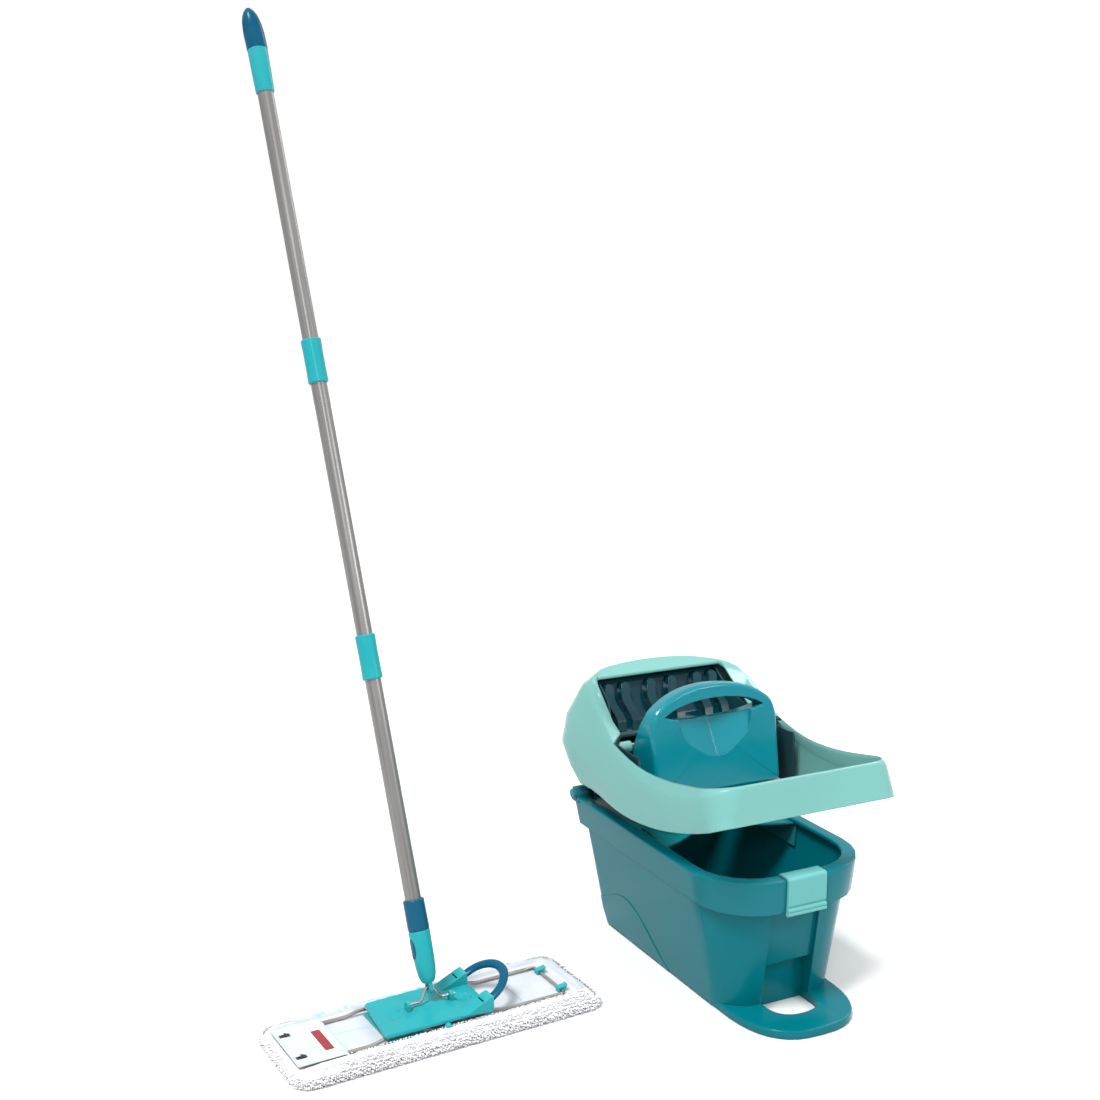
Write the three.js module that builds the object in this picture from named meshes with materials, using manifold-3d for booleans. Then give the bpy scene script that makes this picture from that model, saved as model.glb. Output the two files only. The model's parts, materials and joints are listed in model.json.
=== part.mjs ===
// Flat click mop with a folding head, and a foot-plate bucket with a hinged lever press.
// Millimetres, +Z up. The bucket's front faces -Y, the mop stands beside it on the -X side.
import * as THREE from 'three';
import { mergeVertices, toCreasedNormals } from 'three/addons/utils/BufferGeometryUtils.js';
import Module from 'manifold-3d';

const wasm = await Module();
wasm.setup();

// ---------------------------------------------------------------- driving dimensions
const FIT = 0.3; // clearance between neighbouring pieces
const DEG = Math.PI / 180;

// Bucket. Its own frame has x forward (0 at the front of the rim), y across, z up.
const TUB = {
  backX: -426, rimZ: 204, skirtZ: 158, skirtHalf: 119.5, wall: 3,
  lipZ: 199, openHalf: 110, openBack: -408, openFront: -20,
};
const FRONT_WALL = { baseX: -42, topX: -18 }; // outer face at z = 0 and at the skirt's foot
const POCKET = { half: 39, top: 69, backX: -57, panelTopZ: 159, panelDepth: 6 };
const FOOT_PLATE = { frontX: 48, rootX: -76, half: 88, thick: 12, holeFrontX: 4, holeHalf: 37.5 };
const HINGE = { x: -413, z: 208, pinR: 4, earR: 11, earInner: 112, earOuter: 129 };
const LATCH = { half: 31, pinX: 2.5, pinZ: 157, pinR: 1.3, thick: 3.2 };

// Press frame. Its own frame starts on the hinge line: x forward, y across, z up when closed.
const PRESS_TILT = 11.2 * DEG; // how far the frame stands open
const SHELL = { half: 149, frontX: 430, thick: 3.2, windowHalf: 112, openingHalf: 143 };
const CHASSIS = {
  armHalf: 101.5, panelHalf: 130, wall: 3, frontX: 214, bottomZ: 3, ledgeX: 101, ledgeZ: 92,
};
const AXLE = { x: 147, z: 82, r: 4, bossR: 8.2 };
const LEVER = {
  backX: 150, frontX: 213, half: 107, bottomZ: 8, shoulderZ: 130, archZ: 164.5, round: 8,
  lensHalf: 84, lensTipZ: 124, lensLowZ: 114, lensHighZ: 143, strapBackX: 186, wall: 3,
};
const RIBS = { y: [-91, -63.5, -18.5, 18.5, 63.5, 91], width: 14.5, height: 12 };
const JAW = { backX: 139, z0: 20, z1: 78, half: 90, ribs: 6, pitch: 33 };
const SCREW = { x: [120, 182], y: 140.4, seatZ: 43.3, bossR: 6.8 };

// Mop. Its own frame is centred on the cover: x along the head, y away from the front, z up.
const MOP_OFFSET = new THREE.Vector2(-446.4, 215.5); // cover centre from the rim's front centre
const MOP_TURN = 3.34 * DEG;
const COVER = { half: 224.5, halfWide: 81.5, top: 21, bed: 13, bedHalf: 50, cornerR: 24 };
const WING_AXIS = { x: 17, z: 16 }; // either side of the fold centre
const FOLD_X = -5; // fold centre along the head
const WIRE_R = 2.4;
const WIRE_Y = 43.7;
const PLATE = { bottom: 24, top: 30 };
const BAIL = { x: -6.5, y: -6, z: 38, rise: 17, r: 2, bend: 14.5, apex: 4.5, foot: 35 };
const HANDLE_BACK = 17.4 * DEG; // lean away from the front
const HANDLE_SIDE = 2.5 * DEG; // lean towards the left end
const RING = { x: 60, y: -6, z: 38, r: 39, rise: 30 * DEG, wide: 13, thick: 9 };

// Handle stations, measured along it from the joint on the bail.
const ALONG = {
  socketTop: 75.3, collarTop: 117, firstJoint: [415.5, 476.5], secondJoint: [825.5, 887],
  gripBottom: 1237, gripTop: 1299.3, tip: 1359,
};
const TUBE = { r: 11, wall: 1, sleeveR: 13.9 };
const BUTTON = { along: 53, halfLong: 13.5, halfWide: 6.5, proud: 14.9 };

const COLOUR = {
  tub: 0x007d82, deck: 0x0c7f84, shell: 0x79c9bd, latch: 0x86cfc6, chassis: 0x04525c,
  lever: 0x0a8a9c, squeeze: 0x0b5f6b, turquoise: 0x3fb6ba, navy: 0x0a6285, steel: 0x9a9a98,
  wire: 0x8f8a84, cover: 0xeceef2, pocket: 0xe6e8ee, label: 0xf4f4f4, screw: 0x6f7478,
};

// ---------------------------------------------------------------- shape helpers
const vec = (x, y, z) => new THREE.Vector3(x, y, z);

function signedVolume(geometry) {
  const p = geometry.attributes.position;
  const index = geometry.index;
  const count = index ? index.count : p.count;
  const at = (i) => new THREE.Vector3().fromBufferAttribute(p, index ? index.getX(i) : i);
  let volume = 0;
  for (let i = 0; i < count; i += 3) {
    volume += at(i).dot(at(i + 1).cross(at(i + 2))) / 6;
  }
  return volume;
}

/** Welds a geometry and turns it so that its faces point outwards. */
function closed(geometry) {
  const bare = new THREE.BufferGeometry();
  bare.setAttribute('position', geometry.attributes.position.clone());
  if (geometry.index) bare.setIndex(geometry.index.clone());
  const welded = mergeVertices(bare, 1e-4);
  if (signedVolume(welded) < 0) {
    const index = welded.index.array;
    for (let i = 0; i < index.length; i += 3) {
      [index[i], index[i + 1]] = [index[i + 1], index[i]];
    }
  }
  return welded;
}

function toManifold(geometry) {
  const shape = closed(geometry);
  const mesh = new wasm.Mesh({
    numProp: 3,
    vertProperties: new Float32Array(shape.attributes.position.array),
    triVerts: new Uint32Array(shape.index.array),
  });
  mesh.merge();
  return new wasm.Manifold(mesh);
}

function fromManifold(manifold) {
  const mesh = manifold.getMesh();
  const geometry = new THREE.BufferGeometry();
  geometry.setAttribute('position', new THREE.BufferAttribute(new Float32Array(mesh.vertProperties), 3));
  geometry.setIndex(new THREE.BufferAttribute(new Uint32Array(mesh.triVerts), 1));
  return geometry;
}

function combine(method, first, rest) {
  let result = toManifold(first);
  for (const geometry of rest) result = result[method](toManifold(geometry));
  return fromManifold(result);
}
const join = (first, ...rest) => combine('add', first, rest);
const cut = (first, ...rest) => combine('subtract', first, rest);
const common = (first, ...rest) => combine('intersect', first, rest);

function box(x0, x1, y0, y1, z0, z1) {
  const geometry = new THREE.BoxGeometry(x1 - x0, y1 - y0, z1 - z0);
  return geometry.translate((x0 + x1) / 2, (y0 + y1) / 2, (z0 + z1) / 2);
}

/** Cylinder between two points. */
function rod(from, to, radius, sides = 20, endRadius = radius) {
  const axis = to.clone().sub(from);
  const geometry = new THREE.CylinderGeometry(endRadius, radius, axis.length(), sides);
  const turn = new THREE.Quaternion().setFromUnitVectors(vec(0, 1, 0), axis.clone().normalize());
  geometry.applyQuaternion(turn);
  const middle = from.clone().add(to).multiplyScalar(0.5);
  return geometry.translate(middle.x, middle.y, middle.z);
}
const rodY = (x, z, y0, y1, radius, sides) => rod(vec(x, y0, z), vec(x, y1, z), radius, sides);
const rodZ = (x, y, z0, z1, radius, sides) => rod(vec(x, y, z0), vec(x, y, z1), radius, sides);

/** Turned solid about Z from [radius, height] stations; the profile closes on the axis. */
function turned(stations, sides = 28) {
  const points = stations.map(([r, z]) => new THREE.Vector2(r, z));
  points.unshift(new THREE.Vector2(0, stations[0][1]));
  points.push(new THREE.Vector2(0, stations[stations.length - 1][1]));
  return new THREE.LatheGeometry(points, sides).rotateX(Math.PI / 2);
}

/** Outline in the x-z plane, pulled across from y0 to y1. */
function acrossProfile(points, y0, y1, curveSegments = 8) {
  const shape = points instanceof THREE.Shape ? points : polygon(points);
  const geometry = new THREE.ExtrudeGeometry(shape, { depth: y1 - y0, bevelEnabled: false, curveSegments });
  return geometry.rotateX(Math.PI / 2).translate(0, y1, 0);
}

/** Outline in the y-z plane, pulled forward from x0 to x1. */
function forwardProfile(shape, x0, x1, curveSegments = 10) {
  const geometry = new THREE.ExtrudeGeometry(shape, { depth: x1 - x0, bevelEnabled: false, curveSegments });
  return geometry.rotateX(Math.PI / 2).rotateZ(Math.PI / 2).translate(x0, 0, 0);
}

function polygon(points) {
  return new THREE.Shape(points.map(([a, b]) => new THREE.Vector2(a, b)));
}

/** Round bar bent through the given points, with a rounded bend at each one. */
function bentWire(points, radius, bend, sides = 10, bendSteps = 4) {
  const path = new THREE.CurvePath();
  let last = points[0];
  let steps = 0;
  for (let i = 1; i < points.length - 1; i += 1) {
    const before = points[i - 1].clone().sub(points[i]).setLength(bend).add(points[i]);
    const after = points[i + 1].clone().sub(points[i]).setLength(bend).add(points[i]);
    path.add(new THREE.LineCurve3(last, before));
    path.add(new THREE.QuadraticBezierCurve3(before, points[i], after));
    last = after;
    steps += 1 + bendSteps;
  }
  path.add(new THREE.LineCurve3(last, points[points.length - 1]));
  const stations = [points[0]];
  for (const curve of path.curves) {
    const n = curve.isLineCurve3 ? 1 : bendSteps;
    for (let k = 1; k <= n; k += 1) stations.push(curve.getPoint(k / n));
  }
  return sweep(stations, radius, radius, sides);
}

/** Oval bar swept through stations; `flat` is its half size along the reference direction. */
function sweep(stations, round, flat, sides = 10, reference = null) {
  const loops = stations.map((p, i) => {
    const before = stations[Math.max(0, i - 1)];
    const after = stations[Math.min(stations.length - 1, i + 1)];
    const tangent = after.clone().sub(before).normalize();
    const guide = reference ? reference.clone() : steadyGuide(stations);
    const side = guide.clone().sub(tangent.clone().multiplyScalar(guide.dot(tangent))).normalize();
    const other = tangent.clone().cross(side);
    const loop = [];
    for (let k = 0; k < sides; k += 1) {
      const a = (2 * Math.PI * k) / sides;
      loop.push(p.clone()
        .addScaledVector(side, flat * Math.cos(a))
        .addScaledVector(other, round * Math.sin(a)));
    }
    return loop;
  });
  return loft(loops);
}

/** A direction the wire never runs along: the normal of the plane it is bent in. */
function steadyGuide(stations) {
  const normal = vec(0, 0, 0);
  for (let i = 1; i < stations.length - 1; i += 1) {
    const a = stations[i].clone().sub(stations[i - 1]);
    const b = stations[i + 1].clone().sub(stations[i]);
    const turn = a.cross(b);
    if (turn.dot(normal) < 0) turn.negate();
    normal.add(turn);
  }
  return normal.lengthSq() < 1e-9 ? vec(0.31, 0.77, 0.55) : normal.normalize();
}

/** Skin through closed loops of equal length. `ring` joins the last loop back to the first. */
function loft(loops, ring = false) {
  const n = loops[0].length;
  const positions = loops.flat().flatMap((p) => [p.x, p.y, p.z]);
  const index = [];
  const last = ring ? loops.length : loops.length - 1;
  for (let j = 0; j < last; j += 1) {
    const k = (j + 1) % loops.length;
    for (let i = 0; i < n; i += 1) {
      const i2 = (i + 1) % n;
      index.push(j * n + i, j * n + i2, k * n + i2, j * n + i, k * n + i2, k * n + i);
    }
  }
  if (!ring) {
    for (const j of [0, loops.length - 1]) {
      const centre = loops[j].reduce((s, p) => s.add(p), vec(0, 0, 0)).multiplyScalar(1 / n);
      const c = positions.length / 3;
      positions.push(centre.x, centre.y, centre.z);
      for (let i = 0; i < n; i += 1) {
        const i2 = (i + 1) % n;
        if (j === 0) index.push(c, j * n + i2, j * n + i);
        else index.push(c, j * n + i, j * n + i2);
      }
    }
  }
  const geometry = new THREE.BufferGeometry();
  geometry.setAttribute('position', new THREE.Float32BufferAttribute(positions, 3));
  geometry.setIndex(index);
  return geometry;
}

/** Rounded-rectangle loop in plan. `z` is a height or a function of x and y. */
function planLoop({ x0, x1, half, back, front, z, corner = 6, side = 1, across = 1 }) {
  const plan = [];
  const arc = (cx, cy, r, start) => {
    for (let i = 0; i <= corner; i += 1) {
      const a = start + (i / corner) * (Math.PI / 2);
      plan.push([cx + r * Math.cos(a), cy + r * Math.sin(a)]);
    }
  };
  const line = (ax, ay, bx, by, parts) => {
    for (let i = 1; i < parts; i += 1) {
      plan.push([ax + ((bx - ax) * i) / parts, ay + ((by - ay) * i) / parts]);
    }
  };
  arc(x0 + back, -half + back, back, Math.PI);
  line(x0 + back, -half, x1 - front, -half, side);
  arc(x1 - front, -half + front, front, 1.5 * Math.PI);
  line(x1, -half + front, x1, half - front, across);
  arc(x1 - front, half - front, front, 0);
  line(x1 - front, half, x0 + back, half, side);
  arc(x0 + back, half - back, back, 0.5 * Math.PI);
  line(x0, half - back, x0, -half + back, across);
  return plan.map(([x, y]) => vec(x, y, typeof z === 'function' ? z(x, y) : z));
}

/** Smooth height curve through a few [position, height] stations. */
function through(stations) {
  return (x) => {
    if (x <= stations[0][0]) return stations[0][1];
    for (let i = 1; i < stations.length; i += 1) {
      if (x > stations[i][0]) continue;
      const [xa, ya] = stations[i - 1];
      const [xb, yb] = stations[i];
      const before = stations[Math.max(0, i - 2)];
      const after = stations[Math.min(stations.length - 1, i + 1)];
      const slopeA = (yb - before[1]) / (xb - before[0]);
      const slopeB = (after[1] - ya) / (after[0] - xa);
      const t = (x - xa) / (xb - xa);
      const h = xb - xa;
      return (2 * t ** 3 - 3 * t ** 2 + 1) * ya + (t ** 3 - 2 * t ** 2 + t) * h * slopeA
        + (3 * t ** 2 - 2 * t ** 3) * yb + (t ** 3 - t ** 2) * h * slopeB;
    }
    return stations[stations.length - 1][1];
  };
}

const MIRROR = [-1, 1]; // near and far side, or front and back

function mesh(name, geometry, colour, roughness = 0.35, metalness = 0) {
  const smooth = toCreasedNormals(closed(geometry), 35 * DEG);
  const material = new THREE.MeshStandardMaterial({ color: colour, roughness, metalness });
  const node = new THREE.Mesh(smooth, material);
  node.name = name;
  return node;
}

// ---------------------------------------------------------------- bucket
const wallX = (z) => FRONT_WALL.baseX + ((FRONT_WALL.topX - FRONT_WALL.baseX) * z) / TUB.skirtZ;

/** Tub without its skirt; `inset` takes it in by that much on every side, for the inside. */
function tubBody(inset) {
  const hollow = inset > 0;
  const level = (x0, x1, half, front, z) => planLoop({
    x0: x0 + inset, x1: x1 - inset, half: half - inset, back: 20, front, z,
  });
  return loft([
    level(-393, wallX(0) - 2, 86.5, 46, hollow ? 3.5 : 0),
    level(-395, wallX(6), 89, 47, hollow ? 6 : 2.5),
    level(-402, wallX(25), 92.8, 50, 25),
    level(-406, wallX(TUB.skirtZ), 118.5, 82, TUB.skirtZ),
    level(-408, -16, 121, 82, hollow ? TUB.lipZ : TUB.lipZ + 0.5),
  ]);
}

function tubSkirt() {
  const outer = loft([
    planLoop({ x0: -425, x1: -1, half: TUB.skirtHalf, back: 12, front: 84, z: TUB.skirtZ }),
    planLoop({ x0: TUB.backX, x1: 0, half: 128.4, back: 13, front: 90, z: 200 }),
    planLoop({ x0: -425.2, x1: -0.8, half: 128.2, back: 12.5, front: 89.5, z: 203 }),
    planLoop({ x0: -423, x1: -3, half: 126, back: 11, front: 87.5, z: TUB.rimZ }),
  ]);
  const inner = loft([
    planLoop({ x0: -422, x1: -4, half: TUB.skirtHalf - 4.7, back: 10, front: 81, z: TUB.skirtZ - 8 }),
    planLoop({ x0: -423, x1: -3.2, half: 125.2, back: 10, front: 87, z: TUB.lipZ }),
  ]);
  return cut(outer, inner);
}

function footPlateOutline(frontX, rootX, half, power, steps) {
  const points = [];
  for (let i = 0; i <= steps; i += 1) {
    const a = -Math.PI / 2 + (Math.PI * i) / steps;
    const reach = Math.abs(Math.cos(a)) ** (2 / power);
    const wide = Math.sign(Math.sin(a)) * Math.abs(Math.sin(a)) ** (2 / power);
    points.push([rootX + (frontX - rootX) * reach, half * wide]);
  }
  return points;
}

function footPlate() {
  const edge = 2.4;
  const outline = footPlateOutline(
    FOOT_PLATE.frontX - edge, FOOT_PLATE.rootX, FOOT_PLATE.half - edge, 2.75, 20);
  const rear = FOOT_PLATE.rootX - 8;
  outline.push([rear, FOOT_PLATE.half - edge], [rear, edge - FOOT_PLATE.half]);
  const plate = new THREE.ExtrudeGeometry(polygon(outline), {
    depth: FOOT_PLATE.thick - 2 * edge, bevelSize: edge, bevelThickness: edge, bevelSegments: 2,
  }).translate(0, 0, edge);
  return common(plate, box(-200, 60, -100, 100, 0, FOOT_PLATE.thick));
}

function footHole() {
  const outline = footPlateOutline(FOOT_PLATE.holeFrontX, -30, FOOT_PLATE.holeHalf, 2.3, 14);
  outline.push([POCKET.backX, FOOT_PLATE.holeHalf], [POCKET.backX, -FOOT_PLATE.holeHalf]);
  const settings = { depth: 20, bevelEnabled: false };
  return new THREE.ExtrudeGeometry(polygon(outline), settings).translate(0, 0, -4);
}

/** Recessed front panel above the toe pocket; `grow` thickens it into the bucket. */
function frontPanel(grow) {
  const back = POCKET.panelDepth + grow;
  const z0 = POCKET.top - 2 - grow;
  const z1 = POCKET.panelTopZ + grow / 4;
  return acrossProfile(
    [[wallX(z0) - back, z0], [wallX(z1) - back, z1], [30, z1], [30, z0]],
    -POCKET.half - grow, POCKET.half + grow);
}

/** Low step moulded along the foot of each side wall. */
function sideRelief() {
  const wave = new THREE.Shape();
  wave.moveTo(-392, 3);
  wave.lineTo(-392, 44);
  wave.bezierCurveTo(-352, 58, -322, 82, -292, 74);
  wave.bezierCurveTo(-252, 62, -236, 22, -196, 3);
  const proud = loft([
    planLoop({ x0: -395, x1: wallX(0) - 40, half: 89.6, back: 20, front: 30, z: 2.6 }),
    planLoop({ x0: -402, x1: wallX(25) - 40, half: 94, back: 20, front: 30, z: 25 }),
    planLoop({ x0: -404, x1: wallX(100) - 40, half: 108.3, back: 20, front: 30, z: 100 }),
  ]);
  return common(acrossProfile(wave, -130, 130, 6), proud);
}

function makeTub() {
  const outer = join(tubBody(0), tubSkirt(), sideRelief(), footPlate());
  const ears = MIRROR.map((s) => {
    const y0 = s < 0 ? -HINGE.earOuter : HINGE.earInner;
    const y1 = s < 0 ? -HINGE.earInner : HINGE.earOuter;
    const upright = box(HINGE.x - HINGE.earR, HINGE.x + HINGE.earR, y0, y1, TUB.lipZ - 4, HINGE.z);
    return join(rodY(HINGE.x, HINGE.z, y0, y1, HINGE.earR, 24), upright);
  });
  const straight = { x0: TUB.openBack, x1: TUB.openFront, half: TUB.openHalf, back: 14, front: 74 };
  const opening = loft([
    planLoop({ ...straight, z: TUB.lipZ - 3 }),
    planLoop({ ...straight, z: 202.6 }),
    planLoop({ x0: -409.4, x1: -18.6, half: 111.4, back: 15, front: 75, z: TUB.rimZ + 0.1 }),
  ]);
  const wall = 3.4;
  const pocketHalf = POCKET.half + wall;
  const pocketWalls = box(POCKET.backX - wall, 40, -pocketHalf, pocketHalf, -2, POCKET.top + wall);
  const inside = cut(tubBody(TUB.wall), pocketWalls, frontPanel(3.2));
  const pocket = box(POCKET.backX, 8, -POCKET.half, POCKET.half, FOOT_PLATE.thick, POCKET.top);
  const bores = MIRROR.map((s) => rodY(HINGE.x, HINGE.z, s * 108, s * 134, HINGE.pinR + FIT, 20));
  const cordHoles = MIRROR.map((s) => rodY(HINGE.x - 4.5, 192, s * 115, s * 134, 3, 14));
  const armNotches = MIRROR.map((s) => box(-427, -396, s * 103 - 3, s * 103 + 3, 197.8, 212));
  const holes = [pocket, footHole(), ...bores, ...cordHoles, ...armNotches];
  return cut(join(outer, ...ears), inside, opening, frontPanel(0), ...holes);
}

/** Drain tray wedged under the rear of the rim, with a well below the press. */
function makeDrainTray() {
  const skin = (t, z0, z1) => loft([
    planLoop({ x0: -402.5 + t, x1: -120, half: 114 - t, back: 20, front: 10, z: z0 }),
    planLoop({ x0: -404.2 + t, x1: -120, half: 116.4 - t, back: 20, front: 10, z: z1 }),
  ]);
  const shell = cut(skin(0, 162, 198.4), skin(2.6, 150, 195.6));
  const front = polygon([
    [-172, -140], [-196, -74], [-238, 0], [-196, 74], [-172, 140], [-60, 140], [-60, -140]]);
  const bow = new THREE.ExtrudeGeometry(front, { depth: 80, bevelEnabled: false }).translate(0, 0, 140);
  const well = box(-346, -264, -92, 92, 180, 220);
  const slots = MIRROR.map((s) => box(-262, -248, s * 101 - 2, s * 101 + 2, 180, 220));
  const ribProfile = [[-244, 197], [-206, 197], [-240, 203]];
  const ribs = MIRROR.map((s) => acrossProfile(ribProfile, s * 101 - 1.5, s * 101 + 1.5));
  const corners = MIRROR.map((s) => box(-420, -394, s < 0 ? -120 : 100, s < 0 ? -100 : 120, 190, 210));
  return cut(join(shell, ...ribs), bow, well, ...slots, ...corners);
}

/** Headed pin through the tub's ear into the press chassis. */
function makeHingePin(s) {
  const shank = rodY(HINGE.x, HINGE.z, s * 99, s * 130, HINGE.pinR, 20);
  const seat = vec(HINGE.x, s * (HINGE.earOuter + FIT), HINGE.z);
  const head = rod(seat, vec(HINGE.x, s * 134.5, HINGE.z), 8.6, 24, 7.2);
  return join(shank, head);
}

function makeLatch() {
  const t = LATCH.thick;
  const face = new THREE.Shape();
  face.moveTo(-19, TUB.rimZ + 0.4);
  face.lineTo(-19, TUB.rimZ + 1.6);
  face.quadraticCurveTo(-18.6, TUB.rimZ + t, -16.5, TUB.rimZ + t);
  face.lineTo(-1.5, TUB.rimZ + t);
  face.quadraticCurveTo(t + 0.6, TUB.rimZ + t, t + 0.6, TUB.rimZ - 1.5);
  face.lineTo(t + 0.6, 168);
  face.lineTo(t - 0.8, 167.2);
  face.lineTo(t - 0.8, 165.6);
  face.lineTo(t + 2.4, 163.4);
  face.lineTo(t + 2.4, 160.5);
  face.lineTo(LATCH.pinX, 160);
  face.lineTo(-0.4, 158.4);
  face.lineTo(0.5, 200.5);
  face.lineTo(-0.2, 203.3);
  face.lineTo(-2.6, TUB.rimZ + 0.5);
  const barrel = rodY(LATCH.pinX, LATCH.pinZ, -LATCH.half, LATCH.half, 3.4, 18);
  const plate = join(acrossProfile(face, -LATCH.half, LATCH.half, 4), barrel);
  return cut(plate, rodY(LATCH.pinX, LATCH.pinZ, -29.4, 29.4 + 3, LATCH.pinR + FIT, 12));
}

const makeLatchPin = () => rodY(LATCH.pinX, LATCH.pinZ, -29, 29, LATCH.pinR, 12);

// ---------------------------------------------------------------- press frame
const lowerEdge = through([[-60, 24], [-8, 22], [25, 21], [58, 19], [92, 13], [157, -3.5], [220, -12.5],
  [281, -15], [339, -11.5], [396, -4], [430, 3.5]]);
const crease = through([[20, 184], [62, 178], [105, 152], [135, 118], [170, 86], [205, 64], [242, 50],
  [307, 38], [371, 40], [415, 49], [433, 53]]);
const innerEdge = through([[40, 180], [66, 178], [74, 167], [90, 148], [105, 133], [124, 113], [143, 101],
  [166, 92], [196, 78], [231, 66], [264, 59.5], [307, 55], [355, 54], [430, 55]]);
const backArch = 10; // rise of the hood's back edge at the middle
const blend = (a, b, t) => a + (b - a) * t;

const { smoothstep } = THREE.MathUtils;
const taper = (rear, front) => (x) => blend(rear, front, smoothstep(x, 50, 210));

/** One closed line around the frame; `half` gives its half width along x. */
function frameLine({ x0, x1, half, back, nose, z }) {
  const loop = planLoop({ x0, x1, half: SHELL.half, back, front: nose, z, corner: 7, side: 14, across: 6 });
  return loop.map((p) => {
    const arch = backArch * smoothstep(-p.x, -70, -30) * smoothstep(p.z, 150, 180);
    p.z += arch * (1 - (p.y / SHELL.half) ** 2);
    p.y *= half(p.x) / SHELL.half;
    return p;
  });
}

/** Line around the openings, which widens at once where the hood's window meets the tray. */
function openingLine(drop) {
  const half = SHELL.openingHalf;
  const z = (x) => innerEdge(x) - drop;
  const loop = planLoop({ x0: 66, x1: 427.3, half, back: 9, front: 42, z, corner: 7, side: 14, across: 6 });
  return loop.map((p) => {
    const flare = smoothstep(p.x, 66, 140) * 6;
    const k = smoothstep(p.x, 148, 162);
    p.y *= blend((SHELL.windowHalf + flare) / half, 1, k);
    return p;
  });
}

/** Lines of the shell's section, from its lower edge over the outside to the rim and back inside. */
function shellLoops() {
  const t = SHELL.thick;
  const level = (k) => (x) => blend(lowerEdge(x), crease(x), k);
  const fall = (x) => blend(15, 5, smoothstep(x, 120, 240));
  const rim = through([
    [34, 106], [50, 111], [62, 118], [88, 129], [110, 135], [140, 141], [200, 146], [230, 147]]);
  const hood = through([[10, 119], [40, 126], [62, 132], [88, 138], [110, 142], [140, 146], [200, 148.6]]);
  const inside = (line) => (x) => line(x) - t;
  const shoulder = (drop) => (x) => crease(x) - fall(x) - drop;
  return [
    frameLine({ x0: 0, x1: 431, half: taper(139, 147), back: 50, nose: 24, z: lowerEdge }),
    frameLine({ x0: -17, x1: 431, half: taper(146.5, 148.3), back: 56, nose: 28, z: level(0.16) }),
    frameLine({ x0: -33, x1: 431, half: taper(151, 149), back: 62, nose: 33, z: level(0.38) }),
    frameLine({ x0: -20, x1: 431, half: taper(144.5, 149), back: 60, nose: 38, z: level(0.64) }),
    frameLine({ x0: 8, x1: 431, half: hood, back: 56, nose: 42, z: shoulder(0) }),
    frameLine({ x0: 33, x1: 430.6, half: rim, back: 50, nose: 44, z: (x) => crease(x) + 0.8 }),
    openingLine(0),
    openingLine(4),
    frameLine({ x0: 36.4, x1: 427, half: inside(rim), back: 47, nose: 41, z: (x) => crease(x) - 4 }),
    frameLine({ x0: 11.6, x1: 427.6, half: inside(hood), back: 53, nose: 39, z: shoulder(2) }),
    frameLine({ x0: -16.6, x1: 427.7, half: taper(141.3, 145.8), back: 57, nose: 35, z: level(0.6) }),
    frameLine({ x0: -29.6, x1: 427.7, half: taper(147.8, 145.8), back: 59, nose: 30, z: level(0.38) }),
    frameLine({ x0: -13.8, x1: 427.7, half: taper(143.3, 145.1), back: 53, nose: 25, z: level(0.16) }),
    frameLine({ x0: 3.2, x1: 427.7, half: taper(135.8, 143.8), back: 47, nose: 21, z: lowerEdge }),
  ];
}

function makePressShell() {
  const bosses = [];
  const bores = [];
  for (const x of SCREW.x) {
    for (const s of MIRROR) {
      bosses.push(rodZ(x, s * SCREW.y, SCREW.seatZ + FIT, 64, SCREW.bossR, 16));
      bores.push(rodZ(x, s * SCREW.y, 30, 61, 2 + FIT, 10));
    }
  }
  return cut(join(loft(shellLoops(), true), ...bosses), ...bores);
}

/** One wavy drain rib standing on the sloping back wall. */
function wavyRib(y, top, bottom) {
  const half = RIBS.width / 2;
  const steps = 8;
  const lean = 0.12 * Math.abs(y) - 9; // the middle ribs lean most
  const middle = (k) => y + lean * (1 - k) + 4 * Math.sin(k * 2 * Math.PI);
  const left = [];
  const right = [];
  for (let i = 0; i <= steps; i += 1) {
    const k = i / steps;
    const z = blend(bottom, top, k);
    left.push([middle(k) - half, z]);
    right.unshift([middle(k) + half, z]);
  }
  const crown = [[y - half * 0.7, top + half * 0.7], [y, top + half], [y + half * 0.7, top + half * 0.7]];
  return forwardProfile(polygon([...left, ...crown, ...right]), 40, 120);
}

/** Side panel in plan: hinge arm beside the back wall, then flaring out to lie along the shell. */
function sidePanel(s) {
  const { armHalf, panelHalf, wall, frontX } = CHASSIS;
  const inner = [[-12, armHalf], [84, armHalf], [100, armHalf + 7], [132, panelHalf], [frontX, panelHalf]];
  const outer = inner.map(([x, y]) => [x, y + wall]).reverse();
  const plan = polygon([...inner, ...outer].map(([x, y]) => [x, s * y]));
  return new THREE.ExtrudeGeometry(plan, { depth: 220, bevelEnabled: false }).translate(0, 0, -20);
}

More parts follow.
